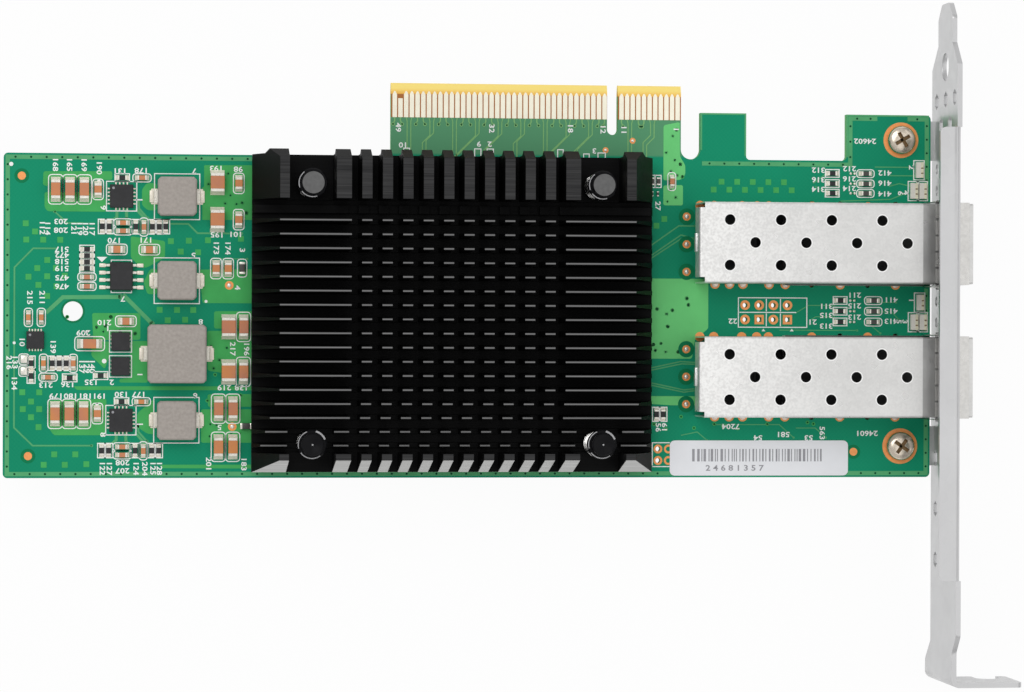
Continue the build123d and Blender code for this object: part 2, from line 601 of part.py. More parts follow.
def port_body(centre):
    """Moulded connector at the back of a cage, with its card slot."""
    end = port_start + PORT_BODY_LENGTH
    half = PORT_BODY_WIDTH / 2
    body = block((port_start, end), (-half, half), (0, PORT_BODY_HEIGHT))
    body = chamfer(body.edges().filter_by(Axis.Y).group_by(Axis.X)[-1], 0.5)
    body -= block((end - PORT_SLOT_DEPTH, end + 1), (-PORT_SLOT_WIDTH / 2, PORT_SLOT_WIDTH / 2),
                  (PORT_SLOT_FLOOR, PORT_SLOT_FLOOR + PORT_SLOT_HEIGHT))
    return Pos(0, centre, 0) * body


def port_contacts(centre):
    """Two rows of contacts in a connector's card slot."""
    end = port_start + PORT_BODY_LENGTH
    rows = ((PORT_SLOT_FLOOR, PORT_SLOT_FLOOR + PORT_CONTACT_THICK),
            (PORT_SLOT_FLOOR + PORT_SLOT_HEIGHT - PORT_CONTACT_THICK, PORT_SLOT_FLOOR + PORT_SLOT_HEIGHT))
    bars = []
    for low, high in rows:
        for n in range(PORT_CONTACTS):
            y = centre + PORT_CONTACT_PITCH * (n - (PORT_CONTACTS - 1) / 2)
            bars.append(block((end - PORT_SLOT_DEPTH, end - 1), (y - PORT_CONTACT_WIDTH / 2,
                                                                 y + PORT_CONTACT_WIDTH / 2), (low, high)))
    return bars


def plate_face():
    """Bracket plate in Y and Z: tongue, full width, and the flare down to the tab."""
    tongue_high = TONGUE_LOW + TONGUE_WIDTH
    tab_high = TAB_LOW + TAB_WIDTH
    foot = tab_outer
    points = [(TONGUE_REACH, TONGUE_LOW + TONGUE_TIP_CUT), (TONGUE_REACH, tongue_high - TONGUE_TIP_CUT),
              (TONGUE_REACH - TONGUE_TIP_CUT, tongue_high), (TONGUE_ROOT, tongue_high),
              (TAPER_ROOT, plate_top), (foot + FLARE_TOP_START, plate_top), (foot + FLARE_TOP_END, tab_high),
              (foot, tab_high), (foot, TAB_LOW), (foot + FLARE_END, TAB_LOW), (foot + FLARE_START, PLATE_LOW),
              (TAPER_ROOT, PLATE_LOW), (TONGUE_ROOT, TONGUE_LOW), (TONGUE_REACH - TONGUE_TIP_CUT, TONGUE_LOW)]
    face = make_face(Polyline(*points, close=True))
    soft = [v for v in face.vertices()
            if TONGUE_ROOT + 1 < v.X or foot + FLARE_END - 1 < v.X < foot + FLARE_TOP_START + 1]
    return fillet(soft, 1.0)


def vent_places():
    """Staggered vent holes as (y, z), beside the tongue and beyond the lower port."""
    places = [(VENT_FIRST_TOP, VENT_LOW + VENT_PITCH_Z * k) for k in range(3)]
    places += [(VENT_FIRST_TOP - VENT_PITCH_Y, VENT_LOW + VENT_PITCH_Z * (k + 0.5)) for k in range(2)]
    for row in range(5):
        shift = 0.5 * (row % 2)
        places += [(VENT_FIRST_LOW - VENT_PITCH_Y * row, VENT_LOW + VENT_PITCH_Z * (k + shift))
                   for k in range(2)]
    return places


def plate_cutouts():
    """Windows, light holes, vents and the tongue's hole, in Y and Z."""
    cuts = []
    for centre in CAGE_CENTRES.values():
        window = RectangleRounded(CAGE_WIDTH + 2 * WINDOW_CLEARANCE, CAGE_HEIGHT + 2 * WINDOW_CLEARANCE,
                                  WINDOW_CORNER)
        cuts.append(Pos(centre, CAGE_HEIGHT / 2) * window)
    cuts += [Pos(y, LIGHT_HOLE_Z) * Circle(LIGHT_HOLE_DIA / 2) for y in LIGHT_HOLES_Y]
    cuts += [Pos(y, z) * RegularPolygon(VENT_SIZE / 2, 6) for y, z in vent_places()]
    cuts.append(Pos(TONGUE_HOLE_Y, TONGUE_LOW + TONGUE_WIDTH / 2) * Circle(TONGUE_HOLE_DIA / 2))
    return cuts


def bend(points, radius):
    """Closed outline with every listed corner rounded: (a, b, rounded radius or 0)."""
    face = make_face(Polyline(*[p[:2] for p in points], close=True))
    for a, b, r in points:
        if r:
            corner = [v for v in face.vertices() if abs(v.X - a) < 1e-6 and abs(v.Y - b) < 1e-6]
            face = fillet(corner, r * radius)
    return face


def make_tab():
    """Tab that screws to the chassis, folded from the foot of the plate, with its open notch."""
    tab_inner = tab_outer + PLATE_THICK
    reach = plate_outer + TAB_REACH
    outer_bend = BEND_RADIUS + PLATE_THICK
    profile = bend([(plate_inner, tab_outer, outer_bend), (reach, tab_outer, 0), (reach, tab_inner, 0),
                    (plate_outer, tab_inner, BEND_RADIUS), (plate_outer, tab_inner + 3 * BEND_RADIUS, 0),
                    (plate_inner, tab_inner + 3 * BEND_RADIUS, 0)], 1)
    tab = Pos(0, 0, TAB_LOW) * extrude(profile, amount=TAB_WIDTH)
    across = (tab_outer - PLATE_THICK, tab_inner + PLATE_THICK)
    tab -= block((plate_outer + TAB_STEP, reach + 1), across, (TAB_LOW - 1, TAB_STEP_LOW))
    tip = tab.edges().filter_by(Axis.Y).group_by(Axis.X)[-1]
    tab = fillet(tip, LIP_CORNER)
    notch_x, notch_end = reach - TAB_NOTCH_SETBACK, TAB_STEP_LOW + TAB_NOTCH_DEPTH - TAB_NOTCH_WIDTH / 2
    tab -= Pos(notch_x, tab_outer, notch_end) * Rot(90, 0, 0) * Cylinder(TAB_NOTCH_WIDTH / 2, 4 * PLATE_THICK)
    tab -= block((notch_x - TAB_NOTCH_WIDTH / 2, notch_x + TAB_NOTCH_WIDTH / 2), across,
                 (TAB_STEP_LOW - 1, notch_end))
    return tab


def make_lip():
    """Stiffening lip folded over from the plate's edge above the cages."""
    free = plate_inner - LIP_REACH
    inner = plate_top - PLATE_THICK
    points = [(plate_outer, inner - 3 * BEND_RADIUS, 0), (plate_inner, inner - 3 * BEND_RADIUS, 0),
              (plate_inner, inner, BEND_RADIUS), (free, inner, 0), (free, plate_top, 0),
              (plate_outer, plate_top, BEND_RADIUS + PLATE_THICK)]
    profile = Plane.XZ * bend(points, 1)
    lip = Pos(0, LIP_START, 0) * extrude(profile, amount=LIP_START - lip_end)
    corners = lip.edges().filter_by(Axis.Z).group_by(Axis.X)[0]
    return fillet(corners, LIP_CORNER)


def make_ear(y):
    """Ear under the board, folded from the plate, that takes a bracket screw."""
    low = ear_top - PLATE_THICK
    far = plate_inner - EAR_REACH
    ear = block((far, plate_outer), (y - EAR_WIDTH / 2, y + EAR_WIDTH / 2), (low, ear_top))
    tips = ear.edges().filter_by(Axis.Z).group_by(Axis.X)[0]
    ear = fillet(tips, 2 * LIP_CORNER)
    ear = fillet(ear.edges().filter_by(Axis.Y).group_by(Axis.X)[-1].group_by(Axis.Z)[0], BEND_RADIUS)
    return ear


def make_bracket():
    """Folded steel bracket: plate, lip, tongue, tab, ears and every opening."""
    face = plate_face()
    for cut in plate_cutouts():
        face -= cut
    plate = extrude(Plane.YZ.offset(plate_inner) * face, amount=PLATE_THICK)
    square_foot = tab_outer + PLATE_THICK + 2 * BEND_RADIUS
    plate -= block((plate_inner - 1, plate_outer + 1), (tab_outer - 1, square_foot), (TAB_LOW - 1, plate_top))
    edge = plate_top - BEND_RADIUS - PLATE_THICK
    plate -= block((plate_inner - 1, plate_outer + 1), (lip_end, LIP_START), (edge, plate_top + 1))
    bracket = plate + make_tab() + make_lip()
    low = ear_top - PLATE_THICK
    for y in SCREWS_Y:
        bracket -= block((plate_inner - 1, plate_outer + 1), (y - EAR_WIDTH / 2, y + EAR_WIDTH / 2),
                         (PLATE_LOW - 1, low))
        bracket += make_ear(y)
        bracket -= drum((screw_x, y), SCREW_SHANK_DIA / 2, low - 1, ear_top + 1)
    return bracket


def bracket_screw(y):
    """Pan head screw through the board and into its ear."""
    head = Pos(screw_x, y, 0) * Cylinder(SCREW_HEAD_RADIUS, SCREW_HEAD_HEIGHT,
                                         align=(Align.CENTER, Align.CENTER, Align.MIN))
    head = chamfer(head.edges().group_by(Axis.Z)[-1], SCREW_HEAD_CHAMFER)
    tip = ear_top - PLATE_THICK - SCREW_TIP
    return head + drum((screw_x, y), SCREW_SHANK_DIA / 2, tip, 0)


def chip_part(place, size, upright):
    """Ceramic body and two metal ends of a small part; upright turns it along Y."""
    length, width, height, end = size
    turn = Rot(0, 0, 90) if upright else Rot(0, 0, 0)
    body = Pos(0, 0, height / 2) * Box(length - 2 * end, width, height)
    ends = [Pos(side * (length - end) / 2, 0, height / 2) * Box(end, width, height) for side in (-1, 1)]
    return Pos(*place, 0) * turn * body, [Pos(*place, 0) * turn * piece for piece in ends]


def chip_family(groups):
    """Bodies and ends of many small parts, from (places, size, upright) groups."""
    bodies, ends = [], []
    for places, size, upright in groups:
        for place in places:
            body, pair = chip_part(place, size, upright)
            bodies.append(body)
            ends += pair
    return bodies, ends


def staged(offsets):
    """Offsets from a regulator, placed at both power stages."""
    return [(STAGE_X + dx, y + dy) for y in STAGES_Y for dx, dy in offsets]


def flat_package(place, size, foot, height):
    """Leadless package: a moulded body with a chamfered top edge."""
    body = slab(place, size, size, foot, height)
    return chamfer(body.edges().group_by(Axis.Z)[-1], 0.1)


def switch_pads(place):
    """Metal pads that stick out under two sides of a power switch."""
    pads = []
    for side in (-1, 1):
        for n in range(SWITCH_PADS):
            middle = (place[0] + side * (SWITCH_SIZE - SWITCH_PAD_REACH / 2) / 2,
                      place[1] + SWITCH_PAD_PITCH * (n - (SWITCH_PADS - 1) / 2))
            pads.append(slab(middle, SWITCH_PAD_REACH, SWITCH_PAD_PITCH / 2, 0, SWITCH_PAD_THICK))
    return pads


def driver_body():
    """Eight-lead package with sides that slope in above its leads."""
    half_w, half_l = DRIVER_WIDTH / 2, DRIVER_LENGTH / 2
    body = Pos(*DRIVER_PLACE, DRIVER_STANDOFF) * Box(DRIVER_WIDTH, DRIVER_LENGTH, DRIVER_HEIGHT,
                                                     align=(Align.CENTER, Align.CENTER, Align.MIN))
    body = chamfer(body.edges().group_by(Axis.Z)[-1], DRIVER_HEIGHT * 0.25, DRIVER_HEIGHT * 0.12)
    mark = (DRIVER_PLACE[0] - half_w * 0.6, DRIVER_PLACE[1] + half_l * 0.7)
    return body - drum(mark, 0.3, DRIVER_HEIGHT, DRIVER_HEIGHT + 1)


def driver_leads():
    """Gull wing leads on both sides of the eight-lead package."""
    t = DRIVER_LEAD_THICK
    side, out = DRIVER_WIDTH / 2, DRIVER_WIDTH / 2 + DRIVER_LEAD_REACH
    knee, rise = side + 0.35, DRIVER_HEIGHT * 0.45
    points = [(side, rise), (knee, rise), (knee + t, 0), (out, 0), (out, t), (knee + 1.7 * t, t),
              (knee + t, rise + t), (side, rise + t)]
    lead = front_profile(points, -DRIVER_LEAD_WIDTH / 2, DRIVER_LEAD_WIDTH / 2)
    leads = []
    for turn in (0, 180):
        for n in range(DRIVER_LEADS):
            shift = DRIVER_LEAD_PITCH * (n - (DRIVER_LEADS - 1) / 2)
            leads.append(Pos(*DRIVER_PLACE, 0) * Rot(0, 0, turn) * Pos(0, shift, 0) * lead)
    return leads


def coil_body(y, size, height):
    """Pressed powder coil block with bevelled edges."""
    body = slab((coil_x, y), size, size, COIL_LEAD_THICK, height)
    body = chamfer(body.edges().filter_by(Axis.Z), COIL_CORNER)
    return chamfer(body.edges().group_by(Axis.Z)[-1], COIL_CORNER / 2)


def coil_leads(y, size):
    """Folded terminals on two sides of a coil, from its foot onto the board."""
    half = size / 2
    terminals = []
    for side in (-1, 1):
        inner, outer = side * half, side * (half + COIL_LEAD_REACH)
        foot = block(tuple(sorted((coil_x + inner - side, coil_x + outer))),
                     (y - COIL_LEAD_WIDTH / 2, y + COIL_LEAD_WIDTH / 2), (0, COIL_LEAD_THICK))
        riser = block(tuple(sorted((coil_x + inner, coil_x + inner + side * COIL_LEAD_THICK))),
                      (y - COIL_LEAD_WIDTH / 2, y + COIL_LEAD_WIDTH / 2), (0, COIL_LEAD_RISE))
        terminals.append(foot + riser)
    return terminals


def status_lamps():
    """Side-lit lamps beside the bracket: white bases and clear windows."""
    length, width, height = LAMP_SIZE
    bases, windows = [], []
    for inset, y in LAMP_PLACES:
        x = BOARD_END + inset
        bases.append(block((x - length / 2, x + length / 2 - LAMP_WINDOW), (y - width / 2, y + width / 2),
                           (0, height)))
        windows.append(block((x + length / 2 - LAMP_WINDOW, x + length / 2),
                             (y - width / 2, y + width / 2), (0, height)))
    return bases, windows


def make_label():
    """Printed sticker on the board."""
    sticker = Pos(*label_place) * RectangleRounded(*LABEL_SIZE, LABEL_CORNER)
    return extrude(sticker, amount=LABEL_THICK)


def save_small_parts():
    """Capacitors, resistors, ferrites and lamps, each kind in its own nodes."""
    lamp_feed = [(BOARD_END - inset, y) for inset, row in zip(LAMP_ROWS_INSET, LAMP_PARTS_Y) for y in row]
    beads = [(x + LAMP_FERRITE_DX, y) for x, y in lamp_feed]
    families = {
        "bulk_capacitor": [(CAPS_WIDE_UPRIGHT, CAP_WIDE, True), (CAPS_LARGE_UPRIGHT, CAP_LARGE, True),
                           (CAPS_LARGE_FLAT, CAP_LARGE, False), (staged(STAGE_CAPS_LARGE), CAP_LARGE, True)],
        "small_capacitor": [(CAPS_MEDIUM_UPRIGHT, CAP_MEDIUM, True), (CAPS_MEDIUM_FLAT, CAP_MEDIUM, False),
                            (staged(STAGE_CAPS_MEDIUM), CAP_MEDIUM, True),
                            (CAPS_SMALL_UPRIGHT, CAP_SMALL, True), (CAPS_SMALL_FLAT, CAP_SMALL, False),
                            (staged(STAGE_CAPS_FLAT), CAP_SMALL, False),
                            (staged(STAGE_CAPS_UPRIGHT), CAP_SMALL, True)],
        "resistor": [(RESISTORS_UPRIGHT, RESISTOR, True), (RESISTORS_FLAT, RESISTOR, False),
                     (staged(STAGE_RESISTORS_FLAT), RESISTOR, False),
                     (staged(STAGE_RESISTORS_UPRIGHT), RESISTOR, True), (lamp_feed, RESISTOR, False),
                     ([(cage_back + x, y) for x, y in RESISTORS_BEHIND_CAGE], RESISTOR, True)],
        "ferrite": [(beads, FERRITE, False)],
    }
    for name, groups in families.items():
        bodies, ends = chip_family(groups)
        save(f"{name}_bodies", bodies)
        save(f"{name}_ends", ends)
    bases, windows = status_lamps()
    save("status_lamp_bases", bases)
    save("status_lamp_windows", windows)


def save_power_parts():
    """Regulators, driver, switches and coils."""
    chips = [((STAGE_X, y), REGULATOR_SIZE) for y in STAGES_Y] + [(SUPERVISOR_PLACE, SUPERVISOR_SIZE)]
    save("regulator_chips", [flat_package(place, size, 0, REGULATOR_HEIGHT) for place, size in chips])
    save("driver_chip", driver_body())
    save("driver_leads", driver_leads())
    switches = [(SWITCH_X, y) for y in SWITCHES_Y]
    save("power_switches", [flat_package(place, SWITCH_SIZE, SWITCH_PAD_THICK, SWITCH_HEIGHT)
                            for place in switches])
    save("power_switch_pads", [pad for place in switches for pad in switch_pads(place)])
    small = [STAGES_Y[0], COIL_MID_Y, STAGES_Y[1]]
    save("small_coils", [coil_body(y, COIL_SIZE, COIL_HEIGHT) for y in small])
    save("large_coil", coil_body(COIL_LARGE_Y, COIL_LARGE_SIZE, COIL_LARGE_HEIGHT))
    terminals = [piece for y in small for piece in coil_leads(y, COIL_SIZE)]
    save("coil_terminals", terminals + coil_leads(COIL_LARGE_Y, COIL_LARGE_SIZE))


def save_cooling():
    """Heatsink with its pins and springs, and the controller under it."""
    centre = (SINK_X, SINK_Y)
    substrate_top = CHIP_BALL_HEIGHT + CHIP_SUBSTRATE
    save("heatsink", make_heatsink())
    save("push_pins", [push_pin(place) for place in pin_places])
    save("push_pin_springs", [pin_spring(place) for place in pin_places])
    save("controller_solder_balls", controller_balls())
    save("controller_substrate", slab(centre, CHIP_SIZE, CHIP_SIZE, CHIP_BALL_HEIGHT, substrate_top))
    save("controller_lid", slab(centre, CHIP_LID_SIZE, CHIP_LID_SIZE, substrate_top, chip_top))
    save("thermal_pad", slab(centre, PAD_SIZE, PAD_SIZE, chip_top, SINK_UNDERSIDE))


def save_ports():
    """Cages, collars, connectors and contacts of both ports."""
    for name, centre in CAGE_CENTRES.items():
        save(f"{name}_cage_cover", cage_cover(centre))
        save(f"{name}_cage_tray", cage_tray(centre))
        save(f"{name}_cage_collar", spring_collar(centre))
        save(f"{name}_port_body", port_body(centre))
        save(f"{name}_port_contacts", port_contacts(centre))


os.makedirs("parts", exist_ok=True)
save("circuit_board", make_board())
save("edge_contacts_front", edge_contacts(0, CONTACT_THICK, (1,)))
save("edge_contacts_back", edge_contacts(-BOARD_THICK - CONTACT_THICK, -BOARD_THICK,
                                         (CONTACT_COUNT_LONG + CONTACT_COUNT_SHORT - 1,)))
save("bracket", make_bracket())
save("bracket_screws", [bracket_screw(y) for y in SCREWS_Y])
save("label", make_label())
save_cooling()
save_ports()
save_power_parts()
save_small_parts()
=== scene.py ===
"""Dual port network interface card, dressed for a studio picture.

Every length in this file is in millimetres of the card's own frame until a mesh is finished:
+X runs towards the bracket, +Y out of the contact edge, +Z out of the component face.
"""

import logging
import math
import random
from dataclasses import dataclass, field, replace
from enum import Enum

import bmesh
import bpy
from mathutils import Matrix, Vector

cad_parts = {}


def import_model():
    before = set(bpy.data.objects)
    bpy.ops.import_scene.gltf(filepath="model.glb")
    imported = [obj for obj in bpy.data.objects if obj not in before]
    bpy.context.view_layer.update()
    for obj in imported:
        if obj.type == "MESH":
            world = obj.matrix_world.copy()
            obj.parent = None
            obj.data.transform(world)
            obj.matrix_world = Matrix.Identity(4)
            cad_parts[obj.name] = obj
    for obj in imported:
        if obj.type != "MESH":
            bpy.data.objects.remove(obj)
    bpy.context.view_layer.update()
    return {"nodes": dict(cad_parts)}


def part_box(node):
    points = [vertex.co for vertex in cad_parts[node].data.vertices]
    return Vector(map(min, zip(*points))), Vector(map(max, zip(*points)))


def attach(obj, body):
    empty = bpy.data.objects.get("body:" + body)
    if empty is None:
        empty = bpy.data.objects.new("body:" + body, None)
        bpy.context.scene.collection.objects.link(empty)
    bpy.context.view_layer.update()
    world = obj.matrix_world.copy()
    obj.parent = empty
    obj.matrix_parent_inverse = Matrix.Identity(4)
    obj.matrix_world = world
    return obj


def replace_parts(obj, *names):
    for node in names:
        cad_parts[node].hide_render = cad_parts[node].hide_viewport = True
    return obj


Colour = tuple[float, float, float]
Flat = tuple[float, float]
Point = tuple[float, float, float]
Span = tuple[Vector, Vector]

MM = 0.001
BODY = "root"
SIDES = ("upper", "lower")
BOARD_THICK = 1.57
LINE = 0.17                             # width of a printed line
SUNK = -0.01                            # how far what lies on the board reaches into it
COPPER_LAYER: Flat = (SUNK, 0.035)
HOLE_LAYER: Flat = (SUNK, 0.042)
PAD_LAYER: Flat = (SUNK, 0.045)
PRINT_LAYER: Flat = (SUNK, 0.055)
CLEAR_LAYER: Flat = (SUNK, 0.02)
HEADER_X = (23.8, 26.34, 28.88, 31.42)  # pins of the header between the cages
HEADER_Y = (-38.5, -41.04)
PIN_RING: Flat = (0.86, 0.43)           # outer and inner radius of their rings

log = logging.getLogger("card")


class Slot(Enum):
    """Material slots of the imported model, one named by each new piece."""

    BOARD = "board_laminate"
    GOLD = "gold_plating"
    TIN = "solder_tin"
    CAGE = "cage_metal"
    SPRING = "spring_wire"
    PIN = "pin_plastic"
    SCREW = "screw_metal"
    FILM = "label_film"
    MOULDING = "chip_moulding"


def toned(colour: Colour, factor: float) -> Colour:
    """Colour made darker or lighter by a factor."""
    return tuple(min(1.0, c * factor) for c in colour)


def around(place: Flat, radius: float, angle: float) -> Flat:
    """Point of a circle, at an angle in radians."""
    return place[0] + radius * math.cos(angle), place[1] + radius * math.sin(angle)


def centre(span: Span) -> Flat:
    """Middle of a box, seen from above."""
    return (span[0].x + span[1].x) / 2, (span[0].y + span[1].y) / 2


class NodeBench:
    """Lays out the shader nodes of one material."""

    def __init__(self, name: str) -> None:
        """Start an empty material.

        Args:
            name: the material's name.
        """
        self.material = bpy.data.materials.new(name)
        self.material.use_nodes = True
        self.tree = self.material.node_tree
        self.tree.nodes.clear()
        self.place = self.tree.nodes.new("ShaderNodeTexCoord")

    def feed(self, socket: bpy.types.NodeSocket, value: object) -> None:
        """Link a socket to an output, or give it a constant.

        Args:
            socket: the input to feed.
            value: an output socket, a number or a colour.
        """
        if isinstance(value, bpy.types.NodeSocket):
            self.tree.links.new(value, socket)
        elif isinstance(value, tuple) and len(value) == 3 and socket.type == "RGBA":
            socket.default_value = (*value, 1.0)
        else:
            socket.default_value = value

    def node(self, kind: str, **inputs: object) -> bpy.types.Node:
        """New node of a kind, fed by input name, with underscores for spaces.

        Args:
            kind: the node's type, without its prefix.
            **inputs: an output, a number or a colour for each input.

        Returns:
            The new node.
        """
        node = self.tree.nodes.new(f"ShaderNode{kind}")
        for name, value in inputs.items():
            self.feed(node.inputs[name.replace("_", " ")], value)
        return node

    def axis(self, letter: str, kind: str = "Object") -> bpy.types.NodeSocket:
        """Object coordinate along one axis, in metres."""
        return self.node("SeparateXYZ", Vector=self.place.outputs[kind]).outputs[letter]

    def facing(self, letter: str) -> bpy.types.NodeSocket:
        """Component of the surface's own direction along one axis."""
        return self.axis(letter, "Normal")

    def stretched(self, stretch: Point) -> bpy.types.NodeSocket:
        """Object coordinates scaled along each axis."""
        return self.node("Mapping", Vector=self.place.outputs["Object"], Scale=stretch).outputs["Vector"]

    def noise(self, size: float, detail: float = 3.0, stretch: Point = (1.0, 1.0, 1.0)) -> bpy.types.NodeSocket:
        """Noise whose features are about size millimetres across."""
        return self.node("TexNoise", Vector=self.stretched(stretch), Scale=1.0 / (size * MM),
                         Detail=detail).outputs["Fac"]

    def cells(self, size: float, stretch: Point = (1.0, 1.0, 1.0)) -> bpy.types.NodeSocket:
        """Crystal-like cells of about size millimetres, each with its own value."""
        cells = self.node("TexVoronoi", Vector=self.stretched(stretch), Scale=1.0 / (size * MM))
        return self.node("SeparateColor", Color=cells.outputs["Color"]).outputs[0]

    def math(self, operation: str, first: object, second: object = 0.0) -> bpy.types.NodeSocket:
        """Result of an arithmetic operation on outputs or numbers.

        Args:
            operation: what is worked out.
            first: first value.
            second: second value, where it has one.

        Returns:
            The result.
        """
        node = self.node("Math")
        node.operation = operation
        self.feed(node.inputs[0], first)
        self.feed(node.inputs[1], second)
        return node.outputs[0]

    def times(self, first: object, second: object) -> bpy.types.NodeSocket:
        """Product of two values."""
        return self.math("MULTIPLY", first, second)

    def wave(self, value: object, rate: float) -> bpy.types.NodeSocket:
        """Sine of a value at a rate per metre."""
        return self.math("SINE", self.times(value, rate))

    def rise(self, value: object, start: float, end: float, low: float = 0.0,
             high: float = 1.0) -> bpy.types.NodeSocket:
        """Value that goes from low to high while the input goes from start to end."""
        return self.node("MapRange", Value=value, From_Min=start, From_Max=end, To_Min=low,
                         To_Max=high).outputs["Result"]

    def step(self, value: object, start: float, run: float) -> bpy.types.NodeSocket:
        """Value that goes from 0 to 1 over a run that starts at a place, both in millimetres."""
        return self.rise(value, start * MM, (start + run) * MM)

    def mix(self, share: object, first: object, second: object) -> bpy.types.NodeSocket:
        """Colour between two others.

        Args:
            share: how much of the second shows, from 0 to 1.
            first: first colour.
            second: second colour.

        Returns:
            The mixed colour.
        """
        node = self.node("Mix")
        node.data_type = "RGBA"
        for number, value in ((0, share), (6, first), (7, second)):
            self.feed(node.inputs[number], value)
        return node.outputs[2]

    def bump(self, height: object, strength: float, distance: float) -> bpy.types.NodeSocket:
        """Surface direction bent by a height, over a distance in millimetres."""
        return self.node("Bump", Strength=strength, Distance=distance * MM, Height=height).outputs["Normal"]

    def surface(self, **inputs: object) -> bpy.types.Material:
        """Finish the material with a principled surface.

        Args:
            inputs: values by socket name, with underscores for spaces.

        Returns:
            The material.
        """
        self.node("OutputMaterial", Surface=self.node("BsdfPrincipled", **inputs).outputs[0])
        return self.material


@dataclass(frozen=True)
class Finish:
    """Finish of a surface, with slow and fine variation."""

    name: str
    colour: Colour
    roughness: float = 0.5
    metallic: float = 0.0
    specular: float = 0.5
    grain: float = 0.12
    grain_size: float = 0.6
    relief: float = 0.1
    relief_size: float = 0.15
    stretch: Point = (1.0, 1.0, 1.0)
    coat: float = 0.0
    second: Colour | None = None
    # colour of faces that look up, used as painted shade
    painted_shade_upward: Colour | None = None

    def material(self) -> bpy.types.Material:
        """Material for this finish, made once."""
        return bpy.data.materials.get(self.name) or self.made(NodeBench(self.name))

    def made(self, bench: NodeBench) -> bpy.types.Material:
        """Lay the finish out.

        Args:
            bench: the empty material.

        Returns:
            The finished material.
        """
        grain = bench.noise(self.grain_size, 4.0, self.stretch)
        dark, light = toned(self.colour, 1.0 - self.grain), toned(self.colour, 1.0 + self.grain)
        colour = bench.mix(bench.rise(grain, 0.3, 0.7), dark, self.second or light)
        # painted shade: faces that look up take a separate colour, used for the shade inside the cages
        if self.painted_shade_upward:
            colour = bench.mix(bench.rise(bench.facing("Z"), 0.4, 0.6), colour, self.painted_shade_upward)
        rough = bench.rise(bench.noise(self.grain_size * 3), 0.3, 0.7, self.roughness * 0.85, self.roughness * 1.15)
        fine = bench.noise(self.relief_size, 3.0, self.stretch)
        normal = bench.bump(fine, self.relief, self.relief_size * 0.2)
        return bench.surface(Base_Color=colour, Roughness=rough, Metallic=self.metallic, Normal=normal,
                             Specular_IOR_Level=self.specular, Coat_Weight=self.coat)


@dataclass(frozen=True)
class MaskFinish(Finish):
    """Green solder mask on the faces, bare laminate on the cut edges and round the contacts."""

    pale: Colour = (0.035, 0.35, 0.16)
    laminate: Colour = (0.19, 0.52, 0.22)
    laminate_dark: Colour = (0.12, 0.38, 0.13)
    tongue: Colour = (0.105, 0.305, 0.155)
    bevel: Colour = (0.96, 0.75, 0.22)
    bevel_deep: Colour = (0.90, 0.48, 0.09)
    bare: Colour = (0.42, 0.16, 0.05)
    bevel_from: float = -2.0
    bevel_to: float = -0.9
    bare_from: float = -6.05
    tongue_from: float = -12.6
    tongue_span: Flat = (-39.6, 12.6)
    patch_size: float = 22.0
    weave_rate: float = 8300.0
    layer_rate: float = 16000.0
    edge_roughness: Colour = (0.75, 0.75, 0.75)

    def made(self, bench: NodeBench) -> bpy.types.Material:
        """Lay out the whole circuit board.

        Args:
            bench: where its nodes are laid out.

        Returns:
            The board's material.
        """
        x, y, z = (bench.axis(letter) for letter in "XYZ")
        mask = bench.mix(bench.rise(bench.noise(self.patch_size, 2.0), 0.35, 0.65), toned(self.colour, 0.9),
                         self.colour)
        weave = bench.times(bench.wave(x, self.weave_rate), bench.wave(y, self.weave_rate))
        mask = bench.mix(bench.rise(weave, -1.0, 1.0, 0.0, 0.10), mask, self.pale)
        left, right = self.tongue_span
        tongue = bench.times(bench.step(y, self.tongue_from, 0.4), bench.step(x, right, -0.3))
        tongue = bench.times(tongue, bench.step(x, left, 0.3))
        mask = bench.mix(bench.times(tongue, 0.9), mask, self.tongue)
        on_tongue = bench.step(x, right + 1.0, -0.1)
        mask = bench.mix(bench.times(bench.step(y, self.bare_from, 0.1), on_tongue), mask, self.bare)
        layers = bench.rise(bench.wave(z, self.layer_rate), 0.5, 1.0, 0.0, 0.5)
        face = bench.rise(bench.math("ABSOLUTE", bench.facing("Z")), 0.4, 0.6)
        colour = bench.mix(face, bench.mix(layers, self.laminate, self.laminate_dark), mask)
        amber = bench.mix(bench.rise(y, self.bevel_to * MM, self.bevel_from * MM), self.bevel, self.bevel_deep)
        colour = bench.mix(bench.times(bench.step(y, self.bevel_from, 0.15), on_tongue), colour, amber)
        rough = bench.mix(face, self.edge_roughness, (self.roughness,) * 3)
        normal = bench.bump(bench.noise(0.35, 2.0), 0.12, 0.05)
        return bench.surface(Base_Color=colour, Roughness=rough, Normal=normal,
                             Specular_IOR_Level=self.specular)


